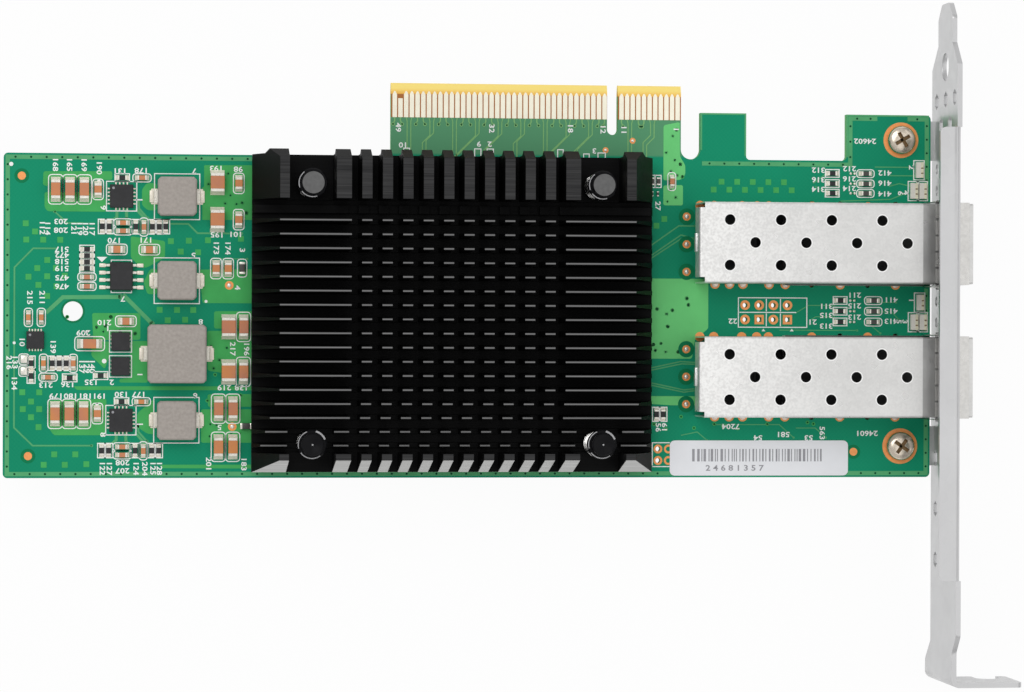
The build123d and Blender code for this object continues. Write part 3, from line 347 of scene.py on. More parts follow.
@dataclass(frozen=True)
class AnodisedFinish(Finish):
    """Black anodising, dark grey on the top faces with a painted highlight line along each fin top, and bare metal on
    the far wall's bevel.
    """

    # colour of the painted highlight along the fin tops, darkened for the rest of those tops
    fin_highlight: Colour = (0.21, 0.21, 0.21)
    post_top: Colour = (0.020, 0.020, 0.021)
    bare: Colour = (0.56, 0.56, 0.55)
    post_from: float = -21.2
    top_from: float = 6.5
    fin_first: float = -24.45
    fin_pitch: float = 2.415
    fin_highlight_width: float = 0.19
    wall_top: float = -64.0
    far_wall: float = -65.2

    def made(self, bench: NodeBench) -> bpy.types.Material:
        """Lay out the heatsink.

        Args:
            bench: where its nodes are laid out.

        Returns:
            The heatsink's material.
        """
        y, z = bench.axis("Y"), bench.axis("Z")
        streaks = bench.rise(bench.noise(0.25, 4.0, (0.02, 1.0, 1.0)), 0.3, 0.7)
        base = bench.mix(streaks, toned(self.colour, 0.7), toned(self.colour, 1.5))
        top = bench.times(bench.rise(bench.facing("Z"), 0.8, 0.95), bench.step(z, self.top_from, 0.1))
        post, wall = bench.step(y, self.post_from, 0.1), bench.step(y, self.wall_top, -0.1)
        steps = bench.math("DIVIDE", bench.math("SUBTRACT", self.fin_first * MM, y), self.fin_pitch * MM)
        share = bench.math("SUBTRACT", bench.math("FRACT", bench.math("ADD", steps, 10.5)), 0.5)
        # painted highlight: a thin pale line along each fin's top stands in for light on its rounded edge
        half = self.fin_highlight_width / 2 / self.fin_pitch
        line = bench.rise(bench.math("ABSOLUTE", share), half * 1.25, half * 0.75)
        tops = bench.mix(line, toned(self.fin_highlight, 0.12), self.fin_highlight)
        tops = bench.mix(bench.math("MAXIMUM", post, wall), tops, self.post_top)
        tops = bench.mix(bench.times(streaks, 0.35), tops, toned(self.fin_highlight, 0.5))
        lean = bench.times(bench.rise(bench.facing("Y"), -0.6, -0.9), bench.rise(bench.facing("Z"), 0.1, 0.16))
        lean = bench.times(lean, bench.step(y, self.far_wall, -0.1))
        colour = bench.mix(lean, bench.mix(top, base, tops), bench.mix(streaks, self.bare, toned(self.bare, 0.7)))
        normal = bench.bump(bench.noise(0.12, 3.0, (0.05, 1.0, 1.0)), 0.2, 0.03)
        return bench.surface(Base_Color=colour, Roughness=self.roughness, Normal=normal,
                             Metallic=bench.times(lean, 0.6), Specular_IOR_Level=self.specular)


@dataclass(frozen=True)
class SheetMetalFinish(Finish):
    """Plated sheet steel with a soft, mottled crystal pattern, and, where a run is given, painted shade along X and a
    painted shadow band from the bracket's lip.
    """

    cell_size: float = 0.9
    speckle: float = 0.0
    # run along X in millimetres over which the sheet darkens as painted shade, and its fine speckle thins out
    shade_and_speckle_run: Flat = (0.0, 0.0)
    # span along X of the painted shadow that the bracket's lip casts on the sheet
    lip_shadow_band: Flat = (53.5, 56.2)

    def made(self, bench: NodeBench) -> bpy.types.Material:
        """Lay out plated sheet metal, darkened along X by painted shade and, near the front end, by a painted shadow
        of the bracket's lip.

        Args:
            bench: where its nodes are laid out.

        Returns:
            The sheet metal's material.
        """
        cells = bench.cells(self.cell_size, self.stretch)
        slow = bench.rise(bench.noise(9.0, 3.0), 0.3, 0.7)
        tone = bench.math("ADD", bench.times(cells, 0.45), bench.times(slow, 0.55))
        dark, light = toned(self.colour, 1.0 - self.grain), toned(self.colour, 1.0 + self.grain)
        x, start, end = bench.axis("X"), self.shade_and_speckle_run[0] * MM, self.shade_and_speckle_run[1] * MM
        if self.speckle:
            near = bench.rise(x, start, end, self.speckle, self.speckle * 0.25)
            fine = bench.rise(bench.noise(0.45, 1.0), 0.35, 0.65, -1.0, 1.0)
            tone = bench.math("ADD", tone, bench.times(fine, near))
        colour = bench.mix(tone, dark, light)
        if any(self.shade_and_speckle_run):
            # painted shade: the colour darkens along X over the run, standing in for the fall-off of the light
            colour = bench.mix(bench.rise(x, start, end), colour,
                               bench.mix(tone, toned(dark, 0.8), toned(light, 0.8)))
            # painted shadow: a dark band where the bracket's lip overhangs the cage
            band = bench.times(bench.step(x, self.lip_shadow_band[0], 0.1),
                               bench.rise(x, (self.lip_shadow_band[1] + 0.5) * MM, self.lip_shadow_band[1] * MM))
            colour = bench.mix(band, colour, bench.mix(slow, toned(self.colour, 0.34), toned(self.colour, 0.5)))
        rough = bench.rise(cells, 0.0, 1.0, self.roughness * 0.8, self.roughness * 1.2)
        normal = bench.bump(bench.noise(self.relief_size, 3.0), self.relief, 0.03)
        return bench.surface(Base_Color=colour, Roughness=rough, Metallic=self.metallic, Normal=normal,
                             Specular_IOR_Level=self.specular)


MASK = MaskFinish("solder_mask", (0.004, 0.275, 0.145), roughness=0.5, specular=0.10)
COVERED = Finish("covered_copper", (0.060, 0.40, 0.105), roughness=0.45, specular=0.12, grain=0.08, grain_size=4.0)
LINES = replace(COVERED, name="covered_lines", colour=(0.095, 0.39, 0.165))
PLANE = replace(COVERED, name="covered_plane", colour=(0.15, 0.60, 0.195), grain=0.05, grain_size=6.0)
TONGUE_LINES = replace(COVERED, name="tongue_lines", colour=(0.21, 0.46, 0.175), grain_size=0.6)
GOLD = Finish("contact_gold", (0.99, 0.94, 0.77), roughness=0.3, metallic=0.4, grain=0.03, grain_size=2.0,
              relief=0.0)
COPPER = Finish("ring_copper", (0.88, 0.34, 0.10), roughness=0.42, metallic=0.25, grain=0.08)
TIN = Finish("bright_solder", (0.83, 0.80, 0.72), roughness=0.3, metallic=0.55, grain=0.1, grain_size=0.3,
             relief=0.25)
FILLET = Finish("cream_solder", (0.86, 0.80, 0.68), roughness=0.4, metallic=0.2, grain=0.1, grain_size=0.3)
WARM_TIN = Finish("warm_solder", (0.88, 0.74, 0.64), roughness=0.35, metallic=0.4, grain=0.1, grain_size=0.3)
ANODISED = AnodisedFinish("heatsink_black", (0.0028, 0.0028, 0.003), roughness=0.48, specular=0.07)
# the cage darkens along X by painted shade over its run
CAGE = SheetMetalFinish("tinned_sheet", (0.84, 0.835, 0.82), roughness=0.34, metallic=0.55, grain=0.09, relief=0.3,
                        relief_size=0.5, speckle=0.55, shade_and_speckle_run=(15.0, 40.0))
# the tray's upward faces are painted near black as the shade inside the cage
CAGE_TRAY = Finish("tinned_tray", (0.74, 0.735, 0.72), roughness=0.4, metallic=0.7, grain=0.06,
                   painted_shade_upward=(0.08, 0.08, 0.08))
# painted highlight on the rolled rims of the cage vents
VENT_RIM_HIGHLIGHT = Finish("vent_rim_highlight", (0.93, 0.93, 0.92), roughness=0.3, metallic=0.2, grain=0.03)
BRACKET = SheetMetalFinish("zinc_plate", (0.59, 0.59, 0.595), roughness=0.36, metallic=0.75, grain=0.07,
                           relief=0.15, relief_size=0.6, cell_size=1.6)
SCREW = Finish("nickel_plate", (0.74, 0.65, 0.54), roughness=0.26, metallic=1.0, grain=0.05)
SPRING = Finish("spring_steel", (0.78, 0.77, 0.75), roughness=0.22, metallic=1.0, grain=0.05)
COLLAR = Finish("collar_steel", (0.62, 0.61, 0.59), roughness=0.3, metallic=1.0, grain=0.08)
PIN = Finish("pin_nylon", (0.004, 0.004, 0.005), roughness=0.35, specular=0.1, relief=0.03)
# painted highlight of the pins' round rims, also used for the gate marks
PIN_GLINT = Finish("pin_highlight_grey", (0.42, 0.42, 0.43), roughness=0.4, grain=0.2, grain_size=0.4)
PIN_CAP = Finish("pin_cap_grey", (0.115, 0.115, 0.115), roughness=0.6, specular=0.3, relief=0.15)
MOULDING = Finish("black_resin", (0.022, 0.022, 0.024), roughness=0.55, specular=0.35, relief=0.3,
                  relief_size=0.12)
CERAMIC = Finish("capacitor_ceramic", (0.50, 0.20, 0.125), roughness=0.42, grain=0.0, grain_size=5.0, relief=0.08,
                 specular=0.3, second=(0.66, 0.255, 0.07))
COIL = Finish("pressed_powder", (0.365, 0.33, 0.30), roughness=0.6, grain=0.10, grain_size=0.5, relief=0.35,
              relief_size=0.2, specular=0.3)
FERRITE = Finish("ferrite_grey", (0.055, 0.05, 0.045), roughness=0.45, relief=0.1)
SUBSTRATE = Finish("carrier_green", (0.02, 0.12, 0.05), roughness=0.4)
LID = Finish("lid_nickel", (0.6, 0.6, 0.58), roughness=0.35, metallic=1.0)
PAD = Finish("thermal_pad_grey", (0.35, 0.36, 0.38), roughness=0.8)
WHITE_PLASTIC = Finish("lamp_white", (0.80, 0.77, 0.70), roughness=0.45, grain=0.03)
LAMP_WINDOW = Finish("lamp_clear", (0.86, 0.82, 0.62), roughness=0.12, grain=0.05, specular=0.6, coat=0.4)
LABEL = Finish("label_white", (0.80, 0.81, 0.84), roughness=0.5, grain=0.015, grain_size=3.0, relief=0.04)
INK = Finish("white_ink", (0.88, 0.90, 0.88), roughness=0.6, grain=0.04, relief=0.1)
GREY_INK = Finish("grey_print", (0.30, 0.30, 0.32), roughness=0.6, grain=0.05)
# bronze of the lamp bonds, also the painted shade in the screw recesses
BRONZE = Finish("dull_bronze", (0.21, 0.13, 0.055), roughness=0.4, metallic=0.3)
MASK_DARK = Finish("mask_clearing", (0.003, 0.19, 0.075), roughness=0.45, specular=0.1, grain=0.05)
# painted shade: dark discs stand in for the shaded insides of the via holes
HOLE = Finish("via_hole_shade", (0.004, 0.07, 0.03), roughness=0.7, specular=0.1)


class Workpiece:
    """Gathers shapes, in millimetres, into one mesh that rides on the card."""

    bold = 0.028
    wide = 1.25
    letter_size = 1.4
    merge = 1e-4

    def __init__(self, layer: Flat = (0.0, 0.0)) -> None:
        """Start with nothing.

        Args:
            layer: underside and top of the flat shapes.
        """
        self.bm = bmesh.new()
        self.low, self.high = layer

    def at(self, low: float, high: float) -> "Workpiece":
        """This piece, with its flat shapes between these heights from here on."""
        self.low, self.high = low, high
        return self

    def box(self, low: Point, high: Point, bevel: float = 0.0) -> list[bmesh.types.BMVert]:
        """Box between two corners.

        Args:
            low: lowest corner.
            high: highest corner.
            bevel: width of the softened edges.

        Returns:
            The box's corners before any bevel.
        """
        low_corner, high_corner = Vector(low), Vector(high)
        middle, size = (low_corner + high_corner) / 2, high_corner - low_corner
        place = Matrix.Translation(middle) @ Matrix.Diagonal((*size, 1.0))
        verts = bmesh.ops.create_cube(self.bm, size=1.0, matrix=place)["verts"]
        if bevel:
            edges = list({e for v in verts for e in v.link_edges})
            bmesh.ops.bevel(self.bm, geom=edges, offset=bevel, segments=2, profile=0.5, material=-1,
                            affect="EDGES", clamp_overlap=True)
        return verts

    def block(self, place: Flat, half: Flat, bevel: float = 0.0) -> None:
        """Box on the layer, from its middle and half its size."""
        (x, y), (dx, dy) = place, half
        self.box((x - dx, y - dy, self.low), (x + dx, y + dy, self.high), bevel)

    def drum(self, place: Flat, radius: float, top: float | None = None, sides: int = 20) -> None:
        """Disc or cone on the layer.

        Args:
            place: its middle.
            radius: its radius at the bottom.
            top: its radius at the top, if another.
            sides: how many sides it has.
        """
        bmesh.ops.create_cone(self.bm, cap_ends=True, segments=sides, radius1=radius,
                              radius2=radius if top is None else top, depth=self.high - self.low,
                              matrix=Matrix.Translation((*place, (self.low + self.high) / 2)))

    def ball(self, place: Point, radius: float, squash: float = 1.0, sides: int = 12) -> None:
        """Ball, flattened along Z by squash.

        Args:
            place: its middle.
            radius: its radius.
            squash: its height as a share of its width.
            sides: how many sides it has.
        """
        matrix = Matrix.Translation(place) @ Matrix.Diagonal((1.0, 1.0, squash, 1.0))
        bmesh.ops.create_uvsphere(self.bm, u_segments=sides, v_segments=max(6, sides // 2), radius=radius,
                                  matrix=matrix)

    def raised(self, faces: list[bmesh.types.BMFace]) -> None:
        """Thicken flat faces to the layer's height.

        Args:
            faces: faces at the bottom of the layer.
        """
        out = bmesh.ops.extrude_face_region(self.bm, geom=faces)["geom"]
        bmesh.ops.translate(self.bm, vec=(0.0, 0.0, self.high - self.low),
                            verts=[g for g in out if isinstance(g, bmesh.types.BMVert)])

    def polygon(self, points: list[Flat], corner: float = 0.0) -> None:
        """Plate on the layer with the given outline and rounded corners.

        Args:
            points: corners of the outline.
            corner: radius of the corners.
        """
        verts = [self.bm.verts.new((x, y, self.low)) for x, y in points]
        faces = [self.bm.faces.new(verts)]
        if corner:
            made = bmesh.ops.bevel(self.bm, geom=verts, offset=corner, segments=3, profile=0.5,
                                   material=-1, affect="VERTICES", clamp_overlap=True)
            faces = list({f for v in made["verts"] for f in v.link_faces})
        self.raised(faces)

    def stroke(self, points: list[Flat], width: float = LINE, closed: bool = False) -> None:
        """Strip of even width on the layer along a line of points, with mitred corners.

        Args:
            points: the middle of the strip.
            width: how wide it is.
            closed: whether the last point joins the first.
        """
        low, count = self.low, len(points)
        flat = [Vector(p) for p in points]
        ahead = [(flat[(i + 1) % count] - flat[i]).normalized() for i in range(count)]
        pairs = []
        for i in range(count):
            before = ahead[i - 1] if closed or i > 0 else ahead[i]
            after = ahead[i] if closed or i < count - 1 else ahead[i - 1]
            along = (before + after).normalized()
            across = Vector((-along.y, along.x))
            reach = width / 2 / max(0.5, across.dot(Vector((-after.y, after.x))))
            pairs.append((flat[i] + across * reach, flat[i] - across * reach))
        first = [self.bm.verts.new((*p, low)) for p in pairs[0]]
        edge = self.bm.edges.new(first)
        left, faces = first[0], []
        for a, b in pairs[1:] + (pairs[:1] if closed else []):
            out = bmesh.ops.extrude_edge_only(self.bm, edges=[edge])["geom"]
            fresh = [g for g in out if isinstance(g, bmesh.types.BMVert)]
            edge = next(e for e in fresh[0].link_edges if e.other_vert(fresh[0]) is fresh[1])
            partner = next(v for v in fresh if any(e.other_vert(v) is left for e in v.link_edges))
            other = edge.other_vert(partner)
            partner.co, other.co = (*a, low), (*b, low)
            faces += [g for g in out if isinstance(g, bmesh.types.BMFace)]
            left = partner
        self.raised(faces)

    def ring(self, place: Flat, outer: float, inner: float, sides: int = 24) -> None:
        """Flat round ring on the layer."""
        self.stroke([around(place, (outer + inner) / 2, math.tau * n / sides) for n in range(sides)],
                    outer - inner, closed=True)

    def frame(self, low: Vector, high: Vector, margin: Flat, corner: float = 0.0, width: float = LINE) -> None:
        """Printed outline with rounded corners round a box.

        Args:
            low: lowest corner of the box.
            high: highest corner.
            margin: distance from the box to the middle of the line, in X and in Y.
            corner: radius of its corners.
            width: width of the line.
        """
        x0, x1, y0, y1 = low.x - margin[0], high.x + margin[0], low.y - margin[1], high.y + margin[1]
        r = min(corner, (x1 - x0) / 2 - 0.01, (y1 - y0) / 2 - 0.01)
        reach, turns = (r, (0, 30, 60, 90)) if r > 0.15 else (r * math.sqrt(2), (45,))
        corners = ((x1 - r, y1 - r), (x0 + r, y1 - r), (x0 + r, y0 + r), (x1 - r, y0 + r))
        self.stroke([around(place, reach, math.radians(90 * number + turn))
                     for number, place in enumerate(corners) for turn in turns], width, closed=True)

    def turned(self, place: Flat, profile: list[Flat], sides: int = 32) -> None:
        """Shape turned about an upright axis from (radius, height) points.

        Args:
            place: where the axis stands.
            profile: radius and height of each point, from the bottom up.
            sides: how many sides it has.
        """
        verts = [self.bm.verts.new((place[0] + r, place[1], z)) for r, z in profile]
        edges = [self.bm.edges.new(pair) for pair in zip(verts, verts[1:])]
        bmesh.ops.spin(self.bm, geom=verts + edges, cent=(*place, 0.0), axis=(0.0, 0.0, 1.0),
                       angle=math.tau, steps=sides, use_merge=True)

    def coil(self, place: Flat, radius: float, wire: float, low: float, high: float, turns: float,
             steps: int = 24) -> None:
        """Coil spring about an upright axis.

        Args:
            place: where the axis stands.
            radius: radius of the coil.
            wire: radius of the wire.
            low: height of its lower end.
            high: height of its upper end.
            turns: how many turns it has.
            steps: points on each turn.
        """
        start = Matrix.Translation((place[0] + radius, place[1], low)) @ Matrix.Rotation(math.pi / 2, 4, "X")
        ring = bmesh.ops.create_circle(self.bm, cap_ends=True, segments=8, radius=wire / 2, matrix=start)["verts"]
        faces = list({f for v in ring for f in v.link_faces})
        total = int(turns * steps)
        bmesh.ops.spin(self.bm, geom=faces, cent=(*place, low), axis=(0.0, 0.0, 1.0),
                       dvec=(0.0, 0.0, (high - low) / total), angle=math.tau * turns, steps=total)

    def carve(self, cutter: "Workpiece") -> None:
        """Cut another workpiece's shapes out of this one.

        Args:
            cutter: the shapes to cut out.
        """
        objects = []
        for bm in (self.bm, cutter.bm):
            bmesh.ops.remove_doubles(bm, verts=bm.verts, dist=1e-4)
            bmesh.ops.recalc_face_normals(bm, faces=bm.faces)
            mesh = bpy.data.meshes.new("carving")
            bm.to_mesh(mesh)
            objects.append(bpy.data.objects.new("carving", mesh))
            bpy.context.scene.collection.objects.link(objects[-1])
        whole, tool = objects
        modifier = whole.modifiers.new("cut", "BOOLEAN")
        modifier.object, modifier.solver, modifier.operation = tool, "EXACT", "DIFFERENCE"
        bpy.context.view_layer.update()
        result = bpy.data.meshes.new_from_object(whole.evaluated_get(bpy.context.evaluated_depsgraph_get()))
        self.bm.clear()
        self.bm.from_mesh(result)
        for o in objects:
            bpy.data.objects.remove(o)

    def digits(self, text: str, place: Flat, height: float, turn: float = 0.0) -> None:
        """Printed number on the layer.

        Args:
            text: the figures.
            place: their middle.
            height: how tall they are.
            turn: their direction, in degrees.
        """
        curve = bpy.data.curves.new("figures", "FONT")
        curve.body, curve.size, curve.resolution_u = text, height * self.letter_size, 2
        curve.align_x, curve.align_y = "CENTER", "CENTER"
        curve.extrude, curve.offset = (self.high - self.low) / 2, height * self.bold
        carrier = bpy.data.objects.new("figures", curve)
        mesh = bpy.data.meshes.new_from_object(carrier)
        mesh.transform(Matrix.Translation((*place, (self.low + self.high) / 2))
                       @ Matrix.Rotation(math.radians(turn), 4, "Z") @ Matrix.Diagonal((self.wide, 1.0, 1.0, 1.0)))
        self.bm.from_mesh(mesh)
        bpy.data.objects.remove(carrier)

    def finish(self, name: str, finish: Finish, slot: Slot, smooth: float = 40.0) -> bpy.types.Object:
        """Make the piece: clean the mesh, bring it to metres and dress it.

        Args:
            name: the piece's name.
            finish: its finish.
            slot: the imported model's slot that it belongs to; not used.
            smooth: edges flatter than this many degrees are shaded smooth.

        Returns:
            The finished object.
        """
        bmesh.ops.remove_doubles(self.bm, verts=self.bm.verts, dist=self.merge)
        bmesh.ops.recalc_face_normals(self.bm, faces=self.bm.faces)
        bmesh.ops.scale(self.bm, vec=(MM, MM, MM), verts=self.bm.verts)
        limit = math.radians(smooth)
        for face in self.bm.faces:
            face.smooth = True
        for edge in self.bm.edges:
            edge.smooth = len(edge.link_faces) == 2 and edge.calc_face_angle(0.0) < limit
        mesh = bpy.data.meshes.new(name)
        self.bm.to_mesh(mesh)
        self.bm.free()
        mesh.materials.append(finish.material())
        obj = bpy.data.objects.new(name, mesh)
        bpy.context.scene.collection.objects.link(obj)
        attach(obj, BODY)
        log.info("%s: %d faces", name, len(mesh.polygons))
        return obj


def islands(node: bpy.types.Object) -> list[Span]:
    """Box of each separate solid of a CAD node, in millimetres.

    Args:
        node: the node's object.

    Returns:
        Lowest and highest corner of each solid.
    """
    bm = bmesh.new()
    bm.from_mesh(node.data)
    bmesh.ops.remove_doubles(bm, verts=bm.verts, dist=1e-6)
    left, found = set(bm.verts), []
    for seed in bm.verts:
        if seed not in left:
            continue
        group, front = [], [seed]
        left.discard(seed)
        while front:
            vert = front.pop()
            group.append(vert.co / MM)
            for edge in vert.link_edges:
                other = edge.other_vert(vert)
                if other in left:
                    left.discard(other)
                    front.append(other)
        low = Vector(min(p[k] for p in group) for k in range(3))
        high = Vector(max(p[k] for p in group) for k in range(3))
        found.append((low, high))
    bm.free()
    return found


def soften(node: bpy.types.Object, finish: Finish, width: float) -> None:
    """Dress a CAD node: its finish, and edges that catch the light.

    Args:
        node: the node's object.
        finish: its finish.
        width: width of the softened edges, or 0 for none.
    """
    node.data.materials.clear()
    node.data.materials.append(finish.material())
    weld = node.modifiers.new("weld", "WELD")
    weld.merge_threshold = 1e-6
    if width:
        bevel = node.modifiers.new("soft edges", "BEVEL")
        bevel.width, bevel.segments, bevel.use_clamp_overlap = width * MM, 2, True
        bevel.limit_method, bevel.angle_limit = "ANGLE", math.radians(30.0)


def via(copper: Workpiece, holes: Workpiece, spot: Flat, radius: float = 0.34) -> None:
    """Covered ring of copper and a dark disc painted as the shade of its hole."""
    copper.drum(spot, radius, sides=12)
    holes.drum(spot, 0.17, sides=10)


@dataclass
class KeptNodes:
    """CAD nodes that are shown as they are, with their finish and softened edges."""

    nodes: dict[str, bpy.types.Object]
    cage_plan: dict[str, tuple[Finish, float]] = field(default_factory=lambda: {
        "cage_tray": (CAGE_TRAY, 0.04), "cage_collar": (COLLAR, 0.03), "port_body": (MOULDING, 0.08),
        "port_contacts": (GOLD, 0.03)})
    plan: dict[str, tuple[Finish, float]] = field(default_factory=lambda: {
        "circuit_board": (MASK, 0.0), "edge_contacts_back": (GOLD, 0.015), "heatsink": (ANODISED, 0.06),
        "controller_solder_balls": (TIN, 0.0), "controller_substrate": (SUBSTRATE, 0.05),
        "controller_lid": (LID, 0.08), "thermal_pad": (PAD, 0.0), "bracket": (BRACKET, 0.14),
        "bulk_capacitor_bodies": (CERAMIC, 0.07), "bulk_capacitor_ends": (TIN, 0.1),
        "small_capacitor_bodies": (CERAMIC, 0.05), "small_capacitor_ends": (TIN, 0.07),
        "resistor_bodies": (MOULDING, 0.03), "resistor_ends": (TIN, 0.05), "ferrite_bodies": (FERRITE, 0.05),
        "ferrite_ends": (TIN, 0.06), "status_lamp_bases": (WHITE_PLASTIC, 0.05),
        "status_lamp_windows": (LAMP_WINDOW, 0.06), "regulator_chips": (MOULDING, 0.04),
        "driver_chip": (MOULDING, 0.04), "driver_leads": (TIN, 0.03), "power_switches": (MOULDING, 0.04),
        "power_switch_pads": (TIN, 0.02), "small_coils": (COIL, 0.12), "large_coil": (COIL, 0.15),
        "coil_terminals": (TIN, 0.06), "label": (LABEL, 0.02)})

    def dress(self) -> None:
        """Give every kept node its finish."""
        cages = {f"{side}_{name}": look for side in SIDES for name, look in self.cage_plan.items()}
        for name, (finish, width) in (self.plan | cages).items():
            soften(self.nodes[name], finish, width)
            log.info("%s: dressed", name)


@dataclass
class ContactEdge:
    """Gold contacts on the component face, with tapered tips."""

    node: bpy.types.Object
    taper: float = 0.42
    tip: float = 0.15
    tip_share: float = 0.28
    spread: float = 0.035
    thick: float = 0.05
    corner: float = 0.06
    short_from: float = -2.0

    def build(self) -> None:
        """Make the row of contacts."""
        work = Workpiece((0.0, self.thick))
        for low, high in islands(self.node):
            middle, half = (low.x + high.x) / 2, (high.x - low.x) / 2 + self.spread
            left, right, shoulder, end = middle - half, middle + half, high.y - self.taper, high.y + self.tip
            outline = [(left, low.y), (right, low.y)]
            if high.y < self.short_from:
                outline += [(right, high.y), (left, high.y)]
            else:
                neck = half * self.tip_share
                outline += [(right, shoulder), (middle + neck, end), (middle - neck, end), (left, shoulder)]
            work.polygon(outline, self.corner)
        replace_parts(work.finish("front_contacts", GOLD, Slot.GOLD), "edge_contacts_front")


@dataclass
class PushPins:
    """Plastic pins and coil springs that hold the heatsink down."""

    places: list[Flat]
    row_middle: float
    flange_radius: float = 2.55
    cap_radius: float = 1.95
    shank: float = 1.38
    flange: Flat = (11.4, 12.2)
    cap_top: float = 14.0
    edge: float = 0.18
    dimple: tuple[Flat, ...] = ((1.3, -0.05), (0.6, -0.22), (0.0, -0.28))
    barb: float = 1.9
    barb_top: float = -1.72
    barb_end: float = -3.72
    wire: float = 0.5
    coil_radius: float = 2.1
    coil_low: float = 4.75
    turns: float = 4.5
    rim_radius: float = 2.36
    rim_steps: int = 12
    # start angle, end angle in degrees and width of each painted highlight arc on a pin's rim
    dome_highlight_arcs: tuple[Point, ...] = ((112.0, 196.0, 0.16), (22.0, 74.0, 0.3), (216.0, 306.0, 0.16))
    flat_highlight_arcs: tuple[Point, ...] = ((128.0, 200.0, 0.16), (218.0, 288.0, 0.16))

    def pin(self, work: Workpiece, place: Flat, domed: bool) -> None:
        """One pin: barb, shank, flange and cap.

        Args:
            work: where it is gathered.
            place: its middle.
            domed: whether the cap is a ring round a dimple instead of flat.
        """
        (low, high), edge = self.flange, self.edge
        profile = [(0.0, self.barb_end), (self.shank * 0.5, self.barb_end), (self.barb, self.barb_top - 0.3),
                   (self.barb, self.barb_top), (self.shank, self.barb_top), (self.shank, low),
                   (self.flange_radius - edge, low), (self.flange_radius, low + edge),
                   (self.flange_radius, high - edge), (self.flange_radius - edge, high),
                   (self.cap_radius, high), (self.cap_radius, self.cap_top - edge),
                   (self.cap_radius - edge, self.cap_top)]
        profile += [(radius, self.cap_top + drop) for radius, drop in (self.dimple if domed else ((0.0, 0.0),))]
        work.turned(place, profile, 36)

    def build(self) -> None:
        """Make the pins, their pale caps, painted highlights on their rims, the gate marks in their dimples and their
        springs.
        """
        top = self.flange[1]
        pins, springs = Workpiece(), Workpiece()
        caps, rims = Workpiece((self.cap_top - 0.02, self.cap_top + 0.02)), Workpiece((top - 0.05, top + 0.03))
        for place in self.places:
            domed = place[1] < self.row_middle
            self.pin(pins, place, domed)
            if domed:
                # the small ball in the dimple is the mould gate mark
                rims.ball((*place, self.cap_top - 0.27), 0.16, 0.5, 10)
            else:
                caps.drum(place, self.cap_radius - 0.07, sides=36)
            # painted highlights: pale arcs on the flange where its round rim catches the light
            for start, end, width in self.dome_highlight_arcs if domed else self.flat_highlight_arcs:
                angles = [start + (end - start) * n / self.rim_steps for n in range(self.rim_steps + 1)]
                rims.stroke([around(place, self.rim_radius, math.radians(a)) for a in angles], width)
            springs.coil(place, self.coil_radius, self.wire, self.coil_low, self.flange[0] - self.wire / 2,
                         self.turns)
        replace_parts(pins.finish("heatsink_pins", PIN, Slot.PIN), "push_pins")
        caps.finish("pin_cap_faces", PIN_CAP, Slot.PIN)
        rims.finish("pin_highlights_and_gate_marks", PIN_GLINT, Slot.PIN)
        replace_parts(springs.finish("heatsink_springs", SPRING, Slot.SPRING), "push_pin_springs")


@dataclass
class BracketScrews:
    """Cross-recessed pan head screws that hold the bracket to the board."""

    places: list[Flat]
    head_radius: float = 2.55
    head_height: float = 1.7
    head_edge: Flat = (0.12, 0.14)
    head_curve: tuple[Flat, ...] = ((0.985, 0.45), (0.9, 0.72), (0.72, 0.9), (0.45, 0.98), (0.0, 1.0))
    shank: float = 1.35
    tip: float = -3.33
    thread_pitch: float = 0.45
    thread_depth: float = 0.16
    thread_span: Flat = (0.25, -0.4)
    recess: Point = (3.5, 0.78, 2.0)
    recess_sink: float = 0.35
    recess_taper: float = 0.55
    # size of the dark block painted into each recess arm as shade, and how far below the sill it sits
    floor: Point = (2.35, 0.5, 0.45)
    floor_sink: float = 0.675
    turns: Flat = (30.0, 55.0)

    def profile(self) -> list[Flat]:
        """Radius and height of the screw's side, from its tip to the middle of its head.

        Returns:
            The points of the profile.
        """
        r, h = self.head_radius, self.head_height
        points = [(0.0, self.tip), (self.shank - 0.3, self.tip)]
        z = self.tip + self.thread_span[0]
        while z < self.thread_span[1]:
            points += [(self.shank - self.thread_depth, z), (self.shank, z + self.thread_pitch / 2)]
            z += self.thread_pitch
        points += [(self.shank, -0.02), (self.shank, 0.0), (r - self.head_edge[0], 0.0), (r, self.head_edge[1])]
        return points + [(r * wide, h * tall) for wide, tall in self.head_curve]

    def build(self) -> None:
        """Make both screws, with one bar at a time cut out of their heads, and dark blocks in the recesses as painted
        shade.
        """
        work, bars, recess_shade = Workpiece(), (Workpiece(), Workpiece()), Workpiece()
        sill = self.head_height - self.recess_sink
        for turn, place in zip(self.turns, self.places):
            work.turned(place, self.profile(), 40)
            for arm, bar in enumerate(bars):
                turned = Matrix.Translation((*place, sill)) @ Matrix.Rotation(math.radians(turn + 90 * arm), 4, "Z")
                verts = bmesh.ops.create_cube(bar.bm, size=1.0, matrix=turned @ Matrix.Diagonal(
                    (*self.recess, 1.0)))["verts"]
                # painted shade: a dark bronze block sits low in each recess arm
                bmesh.ops.create_cube(recess_shade.bm, size=1.0, matrix=turned @ Matrix.Translation(
                    (0.0, 0.0, -self.floor_sink)) @ Matrix.Diagonal((*self.floor, 1.0)))
                for v in verts:
                    if v.co.z < sill:
                        axis = Vector((*place, v.co.z))
                        v.co = axis + (v.co - axis) * self.recess_taper
        for bar in bars:
            work.carve(bar)
        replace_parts(work.finish("pan_head_screws", SCREW, Slot.SCREW, 35.0), "bracket_screws")
        recess_shade.finish("screw_recess_shade", BRONZE, Slot.SCREW)


